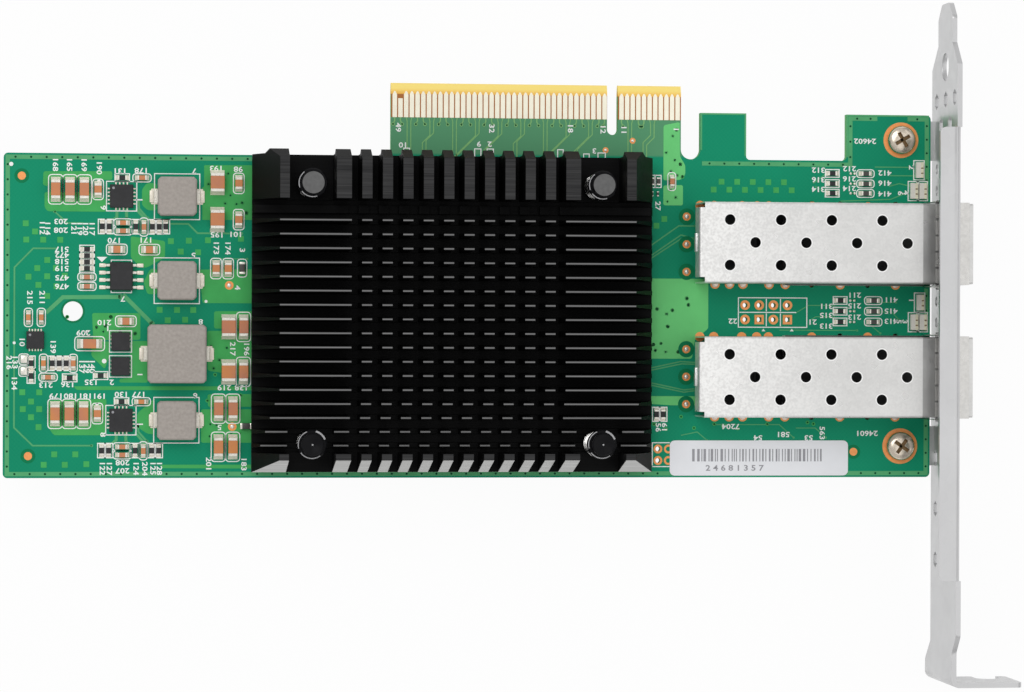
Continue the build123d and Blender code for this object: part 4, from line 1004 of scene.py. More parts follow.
@dataclass
class ModuleCage:
    """Folded cover of one module cage, with round vents, relief notches and legs."""

    side: str
    low: Vector
    high: Vector
    wall: float = 0.25
    bend: float = 0.45
    flat: float = 1.0
    hem: float = 0.26
    back_low: float = 5.9
    vent: float = 0.95
    first: float = 5.4
    pitch: float = 9.0
    stagger: float = 4.5
    row: float = 3.95
    rim: Flat = (0.16, -0.02)
    legs: tuple[float, ...] = (4.45, 9.45, 14.25, 21.95, 27.05, 32.05, 37.05)
    wide_from: float = 16.0
    leg_half: float = 0.3
    leg_span: Flat = (-2.2, 0.8)
    lance_half: float = 1.6
    lance_span: Flat = (6.4, 7.6)

    def vents(self, middle: float) -> list[Flat]:
        """Places of the round vents about the cage's middle."""
        return [(self.low.x + self.first + self.pitch * n + (0.0 if row else self.stagger), middle + row * self.row)
                for row in (-1, 0, 1) for n in range(4)]

    def top(self, work: Workpiece, y0: float, y1: float, x0: float, x1: float, z: float, middle: float) -> None:
        """Flat top with its vents, as one sheet.

        Args:
            work: takes the sheet.
            y0: least y.
            y1: greatest y.
            x0: least x.
            x1: greatest x.
            z: height of the sheet.
            middle: y of the cage's middle.
        """
        bm = work.bm
        corners = [bm.verts.new((x, y, z)) for x, y in ((x0, y0), (x1, y0), (x1, y1), (x0, y1))]
        edges = [bm.edges.new((corners[i], corners[(i + 1) % 4])) for i in range(4)]
        for place in self.vents(middle):
            circle = bmesh.ops.create_circle(bm, segments=32, radius=self.vent,
                                             matrix=Matrix.Translation((*place, z)))
            edges += list({e for v in circle["verts"] for e in v.link_edges})
        bmesh.ops.triangle_fill(bm, use_beauty=True, use_dissolve=False, edges=edges)

    def folded(self, work: Workpiece, start: Point, fold: Point, end: Point, along: Point) -> None:
        """Sheet that comes from start, folds at a rounded corner and ends at end.

        Args:
            work: where it is gathered.
            start: first point of the cross-section.
            fold: its corner.
            end: its last point.
            along: how far and which way the sheet runs.
        """
        bm = work.bm
        corner = Vector(fold)
        to_start, to_end = (Vector(start) - corner).normalized(), (Vector(end) - corner).normalized()
        middle = corner + (to_start + to_end) * self.bend
        arc = []
        for step in range(7):
            angle = math.radians(15 * step)
            arc.append(middle - (to_end * math.cos(angle) + to_start * math.sin(angle)) * self.bend)
        verts = [bm.verts.new(p) for p in (Vector(start), *arc, Vector(end))]
        edges = [bm.edges.new(pair) for pair in zip(verts, verts[1:])]
        out = bmesh.ops.extrude_edge_only(bm, edges=edges)["geom"]
        bmesh.ops.translate(bm, vec=along, verts=[g for g in out if isinstance(g, bmesh.types.BMVert)])

    def build(self) -> None:
        """Make the cover, and pale rings round its vents as painted highlights on their rolled rims."""
        work = Workpiece()
        x0, x1, y0, y1, z1 = self.low.x, self.high.x, self.low.y, self.high.y, self.high.z
        middle, flat = (y0 + y1) / 2, self.flat
        start = x0 + flat
        self.top(work, y0 + flat, y1 - flat, start, x1, z1, middle)
        for y, inward in ((y0, flat), (y1, -flat)):
            self.folded(work, (start, y, self.hem), (start, y, z1), (start, y + inward, z1), (x1 - x0 - flat, 0, 0))
        self.folded(work, (x0, y0 + flat, self.back_low), (x0, y0 + flat, z1), (start, y0 + flat, z1),
                    (0, y1 - y0 - 2 * flat, 0))
        bmesh.ops.remove_doubles(work.bm, verts=work.bm.verts, dist=1e-3)
        bmesh.ops.recalc_face_normals(work.bm, faces=work.bm.faces)
        if sum(f.normal.z * f.calc_area() for f in work.bm.faces) < 0:
            bmesh.ops.reverse_faces(work.bm, faces=work.bm.faces)
        bmesh.ops.solidify(work.bm, geom=list(work.bm.faces), thickness=self.wall)
        for x in self.legs:
            out = 0.0 if x < self.wide_from else self.wall
            for y in (y0 - out, y1 + out - self.wall):
                work.box((x0 + x - self.leg_half, y, self.leg_span[0]),
                         (x0 + x + self.leg_half, y + self.wall, self.leg_span[1]), 0.05)
        work.box((x0 - 0.28, middle - self.lance_half, self.lance_span[0]),
                 (x0 + 0.12, middle + self.lance_half, self.lance_span[1]), 0.08)
        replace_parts(work.finish(f"{self.side}_cage_shell", CAGE, Slot.CAGE, 30.0), f"{self.side}_cage_cover")
        # painted highlights: pale flat rings stand in for the light on the vents' rolled rims
        rims = Workpiece((z1 - 0.06, z1 + 0.025))
        for place in self.vents(middle):
            rims.ring(place, self.vent + self.rim[0], self.vent + self.rim[1], 32)
        rims.finish(f"{self.side}_vent_rim_highlights", VENT_RIM_HIGHLIGHT, Slot.CAGE)


@dataclass
class Artwork:
    """Copper under the solder mask, bare pads, via holes and the white print of the board."""

    nodes: dict[str, bpy.types.Object]
    square: float = 1.0
    border_width: float = 0.75
    via_pitch: float = 2.6
    squares: tuple[Flat, ...] = (
        (-102.1, -25.0), (-100.5, -26.4), (-102.0, -27.8), (-99.1, -27.8), (-96.2, -27.8), (-98.4, -31.3),
        (-100.1, -32.7), (-96.9, -32.7), (-101.6, -34.2), (-98.4, -34.1), (-95.4, -34.0), (-99.9, -35.6),
        (-96.8, -35.8), (-98.4, -37.5), (-77.2, -27.9), (-74.1, -27.8), (-75.5, -29.7), (-72.5, -29.8),
        (-70.8, -27.7), (-65.1, -27.4), (-79.1, -39.8), (-76.1, -39.8), (-73.3, -39.8), (-77.7, -41.6),
        (-74.7, -41.5), (-102.6, -54.1), (-99.7, -54.1), (-101.1, -55.7), (-102.5, -57.0), (-99.7, -57.0),
        (-101.1, -58.4), (-99.8, -60.1), (-97.1, -64.8), (-93.5, -64.8), (-98.9, -66.6), (-95.3, -66.6),
        (-91.6, -66.5), (9.3, -23.4), (7.9, -24.6))
    square_rows: tuple[tuple[float, float, int], ...] = ((19.5, -16.75, 5), (18.1, -18.15, 6))
    square_pitch: float = 2.8
    pour_corner: float = 0.35
    pours: tuple[tuple[Flat, ...], ...] = (
        ((-99.1, -16.0), (-87.3, -15.9), (-87.3, -17.4), (-98.2, -17.4), (-98.2, -18.6), (-99.2, -18.4)),
        ((-98.9, -19.6), (-90.9, -19.6), (-88.4, -20.7), (-88.4, -22.9), (-98.4, -22.9), (-98.9, -22.2)),
        ((-81.4, -17.9), (-79.7, -17.9), (-79.7, -22.6), (-81.2, -22.6), (-82.2, -21.7), (-82.2, -19.0)),
        ((-71.5, -14.7), (-58.0, -14.6), (-58.0, -24.1), (-71.8, -24.2), (-71.8, -18.5), (-71.5, -18.5)),
        ((-84.1, -27.1), (-78.2, -27.9), (-78.2, -30.7), (-81.3, -32.5), (-82.4, -32.5), (-84.1, -30.8)),
        ((-80.7, -32.7), (-79.6, -32.7), (-79.6, -37.1), (-81.2, -37.1), (-81.9, -35.0)),
        ((-72.3, -32.8), (-58.0, -32.6), (-58.0, -38.6), (-71.7, -38.6)),
        ((-90.7, -40.4), (-82.4, -40.4), (-82.4, -45.0), (-90.5, -45.1)),
        ((-84.1, -45.2), (-81.1, -45.2), (-81.1, -52.4), (-86.0, -52.4), (-86.0, -51.8), (-84.1, -51.5)),
        ((-90.8, -45.3), (-87.6, -45.3), (-87.6, -47.6), (-88.5, -50.1), (-90.8, -47.8)),
        ((-93.9, -53.05), (-58.0, -53.0), (-58.0, -53.7), (-93.3, -53.7)),
        ((-98.1, -55.5), (-88.2, -55.2), (-88.2, -61.5), (-97.2, -61.5), (-98.1, -60.2)),
        ((-82.9, -57.7), (-80.0, -55.2), (-80.0, -61.4), (-81.2, -61.2), (-83.0, -60.0)),
        ((-71.9, -57.0), (-58.0, -57.0), (-58.0, -62.8), (-71.9, -62.8)),
        ((-70.8, -54.4), (-58.0, -54.3), (-58.0, -56.5), (-70.7, -56.6)),
        ((-78.8, -66.6), (-58.0, -66.6), (-58.0, -67.3), (-78.8, -67.2)),
        ((-69.7, -40.0), (-58.0, -39.9), (-58.0, -43.0), (-69.7, -43.0)),
        ((-70.9, -43.4), (-58.0, -43.4), (-58.0, -52.3), (-70.8, -50.3)),
        ((9.1, -6.9), (12.0, -6.3), (12.05, -12.4), (13.0, -13.9), (13.0, -15.6), (12.2, -16.5), (9.1, -16.6)),
        ((9.1, -17.5), (12.6, -17.4), (12.6, -21.0), (9.1, -21.0)),
        ((3.0, -33.9), (17.2, -33.9), (17.2, -42.7), (14.9, -44.5), (14.3, -48.0), (3.0, -48.0)),
        ((3.0, -54.6), (15.6, -54.6), (15.6, -56.2), (10.5, -56.2), (3.0, -55.7)))
    traces: tuple[tuple[float, tuple[tuple[Flat, ...], ...]], ...] = (
        (0.28, (
            ((-96.7, -29.3), (-100.8, -29.3), (-104.0, -32.6), (-104.0, -60.2), (-100.8, -63.3), (-90.7, -63.3)),
            ((-77.4, -24.9), (-74.2, -24.9), (-72.6, -26.5), (-65.0, -26.5)),
            ((-92.3, -24.9), (-95.0, -24.9), (-97.2, -22.9)))),
        (0.7, (
            ((-98.6, -40.4), (-95.7, -37.7), (-85.8, -37.6)), ((-85.4, -37.2), (-80.4, -42.2)))),
        (0.5, (
            ((-86.5, -22.3), (-86.5, -23.8), (-87.4, -24.6)), ((-84.9, -22.3), (-84.8, -24.2)),
            ((-86.5, -61.0), (-86.5, -62.3), (-87.4, -63.2)), ((-84.9, -61.0), (-84.8, -62.8)))),
        (0.45, (
            ((-83.3, -22.3), (-81.6, -24.2)), ((-83.3, -61.0), (-81.6, -62.9)))),
        (0.35, (
            ((-82.8, -20.8), (-82.7, -22.3), (-81.2, -24.0)), ((-82.8, -59.4), (-82.7, -60.9), (-81.2, -62.6)))),
        (0.18, (
            ((47.1, -13.9), (53.4, -13.9)), ((49.7, -15.4), (54.3, -15.4)),
            ((49.7, -17.3), (51.5, -16.8), (53.4, -17.2)), ((36.0, -16.9), (38.4, -15.1)),
            ((36.3, -17.4), (38.4, -18.6)), ((40.9, -20.0), (50.0, -19.6), (52.5, -18.6)))),
        (0.22, (
            ((3.0, -31.0), (7.2, -27.9), (11.9, -24.6), (14.8, -24.6)),
            ((3.0, -32.7), (7.2, -29.7), (12.3, -26.2), (14.6, -26.8)),
            ((3.0, -33.4), (7.2, -30.2), (12.4, -26.8), (13.7, -26.8)),
            ((3.0, -50.6), (7.2, -49.6), (12.3, -48.5), (15.6, -48.7)),
            ((3.0, -51.0), (7.2, -50.0), (12.5, -48.9), (15.6, -49.0)),
            ((3.0, -51.3), (7.2, -52.3), (12.9, -53.5), (15.6, -53.2)),
            ((3.0, -51.7), (7.2, -52.7), (12.9, -53.9), (15.6, -53.5)))),
        (0.16, (
            ((33.0, -39.8), (35.2, -38.5), (39.8, -38.5)), ((35.4, -41.2), (36.5, -40.5), (39.8, -40.5)),
            ((46.0, -37.9), (51.0, -37.9)), ((46.0, -39.6), (50.2, -39.6), (51.6, -41.0)),
            ((46.0, -41.6), (48.2, -43.4)), ((30.0, -42.9), (44.0, -42.9)),
            ((12.4, -61.5), (15.3, -60.9), (17.1, -62.4)), ((18.0, -59.6), (30.0, -59.6), (32.6, -61.9)),
            ((33.0, -60.2), (36.5, -60.2), (38.4, -61.9)), ((-70.0, -30.9), (-64.0, -30.9)))))
    trace_end: float = 0.12
    borders: tuple[tuple[Flat, ...], ...] = (
        ((-60.0, -13.55), (-105.2, -13.55), (-105.2, -68.2), (56.5, -68.2), (56.5, -58.6)),
        ((16.0, -13.55), (42.65, -13.55), (42.65, -5.35), (47.5, -5.35)),
        ((53.0, -5.35), (56.5, -5.35), (56.5, -19.8)), ((56.5, -35.4), (56.5, -43.2)))
    rims: tuple[tuple[Flat, ...], ...] = (
        ((15.86, -11.2), (15.86, -4.8), (23.74, -4.8), (23.74, -12.2)), ((42.1, -12.2), (42.1, -4.8), (56.9, -4.8)))
    rim_width: float = 0.26
    scatter: tuple[tuple[float, float, float, float, int], ...] = (
        (9.4, 12.6, -16.4, -7.2, 12), (9.4, 12.4, -20.7, -17.7, 8), (-71.0, -64.0, -24.0, -15.0, 14),
        (-70.6, -64.0, -52.0, -43.5, 14), (-90.0, -83.0, -44.5, -40.6, 6), (7.4, 14.0, -47.5, -34.5, 12),
        (-71.0, -64.0, -62.5, -54.5, 10), (5.5, 13.5, -61.0, -57.0, 6), (14.0, 40.0, -60.6, -59.2, 9))
    scatter_gap: float = 1.0
    contact_first: float = 1.6
    contact_gap: float = 3.0
    contact_counts: tuple[int, int] = (7, 38)
    contact_low: float = -6.0
    stub_rows: Point = (-6.6, -7.15, -7.2)
    stub_shift: float = 0.3
    stub_ring: float = 0.32
    long_rows: Point = (-6.7, -8.3, -13.4)
    long_shift: float = 0.18
    long_drop: float = 0.4
    long_run: Flat = (2.4, -0.55)
    straight_to: float = -34.0
    fiducials: tuple[tuple[Flat, float], ...] = (
        ((-102.8, -16.8), 0.7), ((-101.6, -65.1), 0.7), ((43.4, -64.4), 0.7))
    dots: tuple[tuple[Flat, float], ...] = (
        ((-104.6, -14.8), 0.36), ((-71.1, -38.3), 0.26), ((-88.6, -48.7), 0.4), ((-89.6, -17.6), 0.28),
        ((-89.8, -56.2), 0.28), ((-84.4, -46.0), 0.3), ((-104.0, -45.6), 0.25))
    test_pads: tuple[tuple[Flat, float], ...] = (
        ((-67.1, -35.5), 0.75), ((-66.5, -60.0), 0.75), ((3.6, -9.7), 0.52), ((-1.2, -11.4), 0.52))
    half_hidden: tuple[Point, ...] = (
        (-36.3, 1.0, -12.0), (-23.8, 1.1, -12.0), (-21.6, 1.1, -12.0), (-9.2, 1.0, -12.0), (-4.6, 1.0, -12.7),
        (-1.9, 1.3, -12.5))
    fiducial_clear: float = 0.55
    test_dome: Flat = (0.5, 0.3)
    header_square: tuple[int, ...] = (1, 3)
    square_pin: Flat = (0.62, 0.42)
    header_box: tuple[float, float, float, float] = (22.6, 34.9, -42.4, -37.2)
    header_line_end: float = 33.0
    arrows: Flat = (27.1, 32.2)
    arrow_span: Flat = (-43.1, -42.65)
    side_header: tuple[Flat, ...] = ((8.3, -63.9), (8.3, -65.93), (10.15, -63.9), (10.15, -65.93))
    side_header_lines: tuple[tuple[Flat, ...], ...] = (
        ((7.3, -67.0), (10.4, -67.0)), ((10.4, -62.8), (7.3, -62.8), (7.3, -66.8)))
    side_ring: Flat = (0.78, 0.43)
    back_pads_x: float = 13.3
    back_pads_y: tuple[float, ...] = (-22.95, -27.83, -32.68, -46.32, -51.18, -56.01)
    back_pad: float = 0.72
    back_clear: float = 1.45
    back_dome: Flat = (0.42, 0.45)
    lamp_pads_x: float = 43.1
    lamp_pads_y: tuple[float, ...] = (-15.1, -16.9, -18.6, -37.6, -39.5, -41.4)
    lamp_half: Flat = (0.45, 0.2)
    lamp_shift: float = 0.36
    lamp_dome: Flat = (0.25, 0.6)
    screw_ring: Flat = (3.15, 1.62)
    tooling_place: Flat = (-94.0, -40.1)
    tooling_ring: Flat = (2.05, 1.72)
    number_height: float = 0.92
    reading_down: tuple[tuple[str, float, float], ...] = (
        ("168", -97.1, -14.8), ("165", -94.7, -14.8), ("169", -92.2, -14.8), ("190", -89.6, -15.3),
        ("9", -88.9, -22.2), ("112", -99.3, -25.7), ("114", -98.4, -25.8), ("121", -93.9, -25.8),
        ("119", -92.9, -25.8), ("120", -91.9, -25.8), ("117", -90.8, -25.8), ("173", -69.4, -29.0),
        ("174", -67.4, -29.0), ("3", -64.9, -29.4), ("215", -101.4, -37.8), ("211", -99.3, -37.8),
        ("4", -65.7, -35.9), ("10", -102.7, -45.4), ("139", -97.4, -46.2), ("216", -104.9, -49.0),
        ("133", -103.9, -48.9), ("134", -104.0, -52.5), ("137", -92.5, -49.6), ("129", -91.6, -49.6),
        ("140", -90.7, -49.6), ("8", -88.8, -61.4), ("122", -88.9, -67.2), ("127", -87.7, -67.2),
        ("124", -83.1, -67.2), ("204", -81.6, -67.3), ("125", -80.2, -67.2), ("128", -79.1, -67.2),
        ("201", -70.6, -66.5), ("183", -64.5, -66.5), ("217", -66.5, -46.5), ("196", -64.1, -46.5),
        ("2", 53.7, -13.9), ("6", 51.7, -18.5), ("4", 52.7, -18.4), ("563", 37.7, -61.1), ("1", 53.8, -37.5),
        ("5", 51.5, -41.3), ("3", 52.6, -41.3), ("56", 8.3, -60.1), ("61", 9.4, -60.1), ("27", 8.1, -21.1),
        ("49", -37.8, -7.8), ("32", -21.4, -7.8), ("18", -7.5, -7.6), ("12", -1.7, -7.7), ("11", 2.0, -7.8),
        ("1", 11.3, -7.6))
    upside_down: tuple[tuple[str, float, float], ...] = (
        ("131", -86.0, -15.8), ("178", -82.3, -15.7), ("7", -73.2, -15.7), ("193", -69.4, -15.2),
        ("98", -65.6, -15.3), ("203", -96.1, -24.6), ("208", -96.1, -26.1), ("170", -86.9, -27.8),
        ("171", -81.5, -27.7), ("517", -95.9, -29.4), ("472", -95.9, -30.4), ("518", -95.9, -31.5),
        ("519", -95.9, -32.7), ("475", -95.9, -34.3), ("476", -95.9, -35.8), ("5", -73.3, -30.3), ("7", -85.4, -37.9),
        ("210", -88.6, -42.0), ("1", -88.0, -43.0), ("195", -69.2, -26.7), ("101", -66.0, -26.6), ("8", -72.0, -41.8),
        ("209", -92.2, -43.8), ("213", -98.6, -52.8), ("136", -94.8, -52.7), ("135", -90.8, -52.3),
        ("2", -87.3, -52.3), ("179", -96.8, -54.7), ("180", -94.3, -54.7), ("181", -91.8, -54.7),
        ("191", -89.4, -54.7), ("130", -85.6, -54.4), ("177", -82.6, -54.4), ("6", -72.9, -54.6),
        ("208", -85.4, -66.2), ("207", -85.4, -67.6), ("5", -68.7, -60.1), ("219", -67.9, -53.2),
        ("138", -64.9, -53.2), ("24602", 45.3, -9.3), ("312", 36.9, -14.5), ("316", 36.9, -16.2),
        ("314", 36.9, -17.9), ("212", 42.5, -14.2), ("216", 42.5, -16.0), ("214", 42.5, -17.7), ("412", 48.9, -14.9),
        ("416", 48.9, -16.7), ("414", 48.9, -18.6), ("24601", 45.8, -61.1), ("7204", 21.3, -59.9),
        ("581", 30.7, -61.3), ("53", 35.3, -61.9), ("54", 26.2, -61.9), ("22", 21.6, -41.3), ("21", 35.9, -41.4),
        ("311", 38.4, -38.6), ("315", 38.4, -40.2), ("313", 38.4, -42.1), ("211", 43.5, -36.6), ("215", 43.5, -38.5),
        ("213", 43.5, -40.5), ("411", 50.1, -37.4), ("415", 50.1, -39.4), ("413", 50.1, -41.2), ("9", -23.6, -10.5),
        ("2", -21.7, -10.5), ("10", -36.9, -10.8), ("3", -3.2, -11.5))
    dashes: tuple[tuple[Flat, Flat], ...] = (
        ((-83.3, -20.8), (-82.1, -20.8)), ((-83.1, -59.6), (-81.9, -59.6)), ((-92.0, -43.7), (-91.4, -43.7)),
        ((-82.9, -51.0), (-82.0, -51.0)))
    dash_width: float = 0.22

    def vias_along(self, points: tuple[Flat, ...]) -> list[Flat]:
        """Places of the via holes along a border strip.

        Args:
            points: corners of the strip's middle.

        Returns:
            The middle of each hole.
        """
        places = []
        for start, end in zip(points, points[1:]):
            a, b = Vector(start), Vector(end)
            count = max(1, round((b - a).length / self.via_pitch))
            places += [tuple(a.lerp(b, (n + 0.5) / count)) for n in range(count)]
        return places

    def contact_traces(self, copper: Workpiece, holes: Workpiece) -> None:
        """Traces and via stubs that leave the contacts.

        Args:
            copper: the covered copper.
            holes: the via holes.
        """
        short, long = self.contact_counts
        places = [self.contact_first + n for n in range(short)]
        places += [self.contact_first - self.contact_gap - n for n in range(long)]
        stub, bend, end_y = self.stub_rows
        neck, turn, last = self.long_rows
        for number, x in enumerate(places):
            place = number % 4
            if place in (0, 3):
                right = (number % 2 and abs(x) > 2.0) or number == 0
                end = x + (self.stub_shift if right else -self.stub_shift)
                copper.stroke([(x, self.contact_low), (x, stub), (end, bend)], self.dash_width)
                via(copper, holes, (end, end_y), self.stub_ring)
                continue
            run = self.long_run[0] * (self.long_run[1] * ((number // 4) % 4) if x > self.straight_to else 0.0)
            inner = x + (self.long_shift if place == 1 else -self.long_shift) * (-1 if number >= short else 1)
            start = turn - self.long_drop * place
            turned = [(inner, start), (inner + run, start + run)] if run else []
            copper.stroke([(x, self.contact_low), (inner, neck), *turned, (inner + run, last)])

    def build_copper(self) -> None:
        """Covered copper and the via holes in it."""
        copper, lines, planes, tongue = (Workpiece(COPPER_LAYER) for _ in range(4))
        holes = Workpiece(HOLE_LAYER)
        spots = [(x + self.square_pitch * n, y) for x, y, count in self.square_rows for n in range(count)]
        for place in (*self.squares, *spots):
            copper.block(place, (self.square / 2, self.square / 2))
        for outline in self.pours:
            (planes if outline[0][0] > 0 else copper).polygon(outline, self.pour_corner)
        for width, group in self.traces:
            for points in group:
                lines.stroke(points, width)
                lines.drum(points[-1], width / 2 + self.trace_end, sides=12)
        for points in self.rims:
            lines.stroke(points, self.rim_width)
        for points in self.borders:
            lines.stroke(points, self.border_width)
            for place in self.vias_along(points):
                holes.drum(place, 0.2, sides=10)
        shaker, taken = random.Random(7), []
        for x0, x1, y0, y1, count in self.scatter:
            for _ in range(count):
                spot = Vector((shaker.uniform(x0, x1), shaker.uniform(y0, y1)))
                if all((spot - other).length > self.scatter_gap for other in taken):
                    taken.append(spot)
                    via(copper, holes, tuple(spot))
        self.contact_traces(tongue, holes)
        copper.finish("covered_pours", COVERED, Slot.BOARD)
        lines.finish("covered_traces", LINES, Slot.BOARD)
        planes.finish("covered_planes", PLANE, Slot.BOARD)
        tongue.finish("contact_traces", TONGUE_LINES, Slot.BOARD)
        holes.finish("via_holes", HOLE, Slot.BOARD)

    def build_pads(self) -> None:
        """Bare copper: fiducials, test pads, pin pads and rings."""
        bare, tin, clear = Workpiece(PAD_LAYER), Workpiece(), Workpiece(CLEAR_LAYER)
        for place, radius in self.fiducials:
            bare.drum(place, radius, sides=28)
            clear.ring(place, radius + self.fiducial_clear, radius, 28)
        clear.ring(self.tooling_place, *self.tooling_ring, 36)
        for place, radius in self.test_pads:
            bare.drum(place, radius, sides=24)
            tin.ball((*place, PAD_LAYER[1]), radius * self.test_dome[0], self.test_dome[1])
        for row, y in enumerate(HEADER_Y):
            for n, x in enumerate(HEADER_X):
                if row and n in self.header_square:
                    half, width = self.square_pin
                    low, high = Vector((x - half, y - half, 0.0)), Vector((x + half, y + half, 0.0))
                    bare.frame(low, high, (0.0, 0.0), 0.05, width)
                else:
                    bare.ring((x, y), *PIN_RING)
        for place in self.side_header:
            bare.ring(place, *self.side_ring)
        for y in self.back_pads_y:
            place = (self.back_pads_x, y)
            bare.drum(place, self.back_pad, sides=24)
            clear.at(SUNK, 0.04).drum(place, self.back_clear, sides=24)
            tin.ball((*place, 0.05), *self.back_dome)
        for y in self.lamp_pads_y:
            clear.at(SUNK, 0.03).block((self.lamp_pads_x, y), self.lamp_half)
            for side in (-1, 1):
                tin.ball((self.lamp_pads_x + side * self.lamp_shift, y, 0.03), *self.lamp_dome, 10)
        for span in islands(self.nodes["bracket_screws"]):
            bare.ring(centre(span), *self.screw_ring, 40)
        bare.finish("bare_pads", COPPER, Slot.GOLD)
        tin.finish("pad_solder", TIN, Slot.TIN)
        clear.finish("mask_clearings", MASK_DARK, Slot.BOARD)

    def header_lines(self, ink: Workpiece) -> None:
        """Lines and arrows round the pin headers.

        Args:
            ink: the white print.
        """
        x0, x1, y0, y1 = self.header_box
        ink.stroke([(x0, y0), (x1, y0), (x1, y1), (x0, y1)], closed=True)
        middle = sum(HEADER_Y) / 2
        ink.stroke([(x0 + LINE, middle), (self.header_line_end, middle)])
        for left, right in zip(HEADER_X[1:], HEADER_X[2:]):
            x = (left + right) / 2
            for low, high in ((y0 + LINE, middle - LINE), (middle + LINE, y1 - LINE)):
                ink.stroke([(x, low), (x, high)])
        low, high = self.arrow_span
        for x in self.arrows:
            ink.polygon([(x - 0.35, low), (x + 0.35, low), (x, high)])
        for points in self.side_header_lines:
            ink.stroke(points)

    def chip_lines(self, ink: Workpiece) -> None:
        """Outlines of coils, chips and lamps, and the driver chip's brackets and arrow.

        Args:
            ink: the white print.
        """
        for name, margin in (("small_coils", (0.55, 0.6)), ("power_switches", (0.3, 0.25))):
            for low, high in islands(self.nodes[name]):
                ink.frame(low, high, margin)
        for low, high in islands(self.nodes["regulator_chips"]):
            if high.x - low.x > 3.5:
                ink.frame(low, high, (0.6, 0.55))
        low, high = (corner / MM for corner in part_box("driver_chip"))
        for y, step in ((high.y + 0.35, -0.5), (low.y - 0.35, 0.5)):
            ink.stroke([(low.x + 0.2, y + step), (low.x + 0.2, y), (high.x - 0.2, y), (high.x - 0.2, y + step)])
        ink.polygon([(low.x - 2.3, high.y + 0.9), (low.x - 0.5, high.y + 0.9), (low.x - 1.4, high.y)])
        for base, window in zip(islands(self.nodes["status_lamp_bases"]), islands(self.nodes["status_lamp_windows"])):
            ink.frame(base[0], window[1], (0.3, 0.3))

    def build_print(self) -> None:
        """White dots, numbers and lines."""
        ink = Workpiece(PRINT_LAYER)
        for place, radius in self.dots:
            ink.drum(place, radius, sides=16)
        for turn, numbers in ((-90, self.reading_down), (180, self.upside_down)):
            for text, x, y in numbers:
                ink.digits(text, (x, y), self.number_height, turn)
        for points in self.dashes:
            ink.stroke(points, self.dash_width)
        for x, width, y in self.half_hidden:
            ink.frame(Vector((x, y - 0.4, 0.0)), Vector((x, y + 0.1, 0.0)), (width / 2, 0.5), 0.1)
        self.header_lines(ink)
        self.chip_lines(ink)
        ink.finish("white_print", INK, Slot.FILM)

    def build_bonds(self) -> None:
        """Two bronze bonds under the window of each status lamp."""
        bonds = Workpiece()
        for low, high in islands(self.nodes["status_lamp_windows"]):
            bonds.at(high.z - 0.05, high.z + 0.02)
            for share in (0.3, 0.62):
                bonds.block(((low.x + high.x) / 2, low.y + (high.y - low.y) * share), (0.2, 0.11), 0.02)
        bonds.finish("lamp_bonds", BRONZE, Slot.GOLD)

    def build(self) -> None:
        """Make everything that is printed or plated on the component face."""
        self.build_copper()
        self.build_pads()
        self.build_print()
        self.build_bonds()


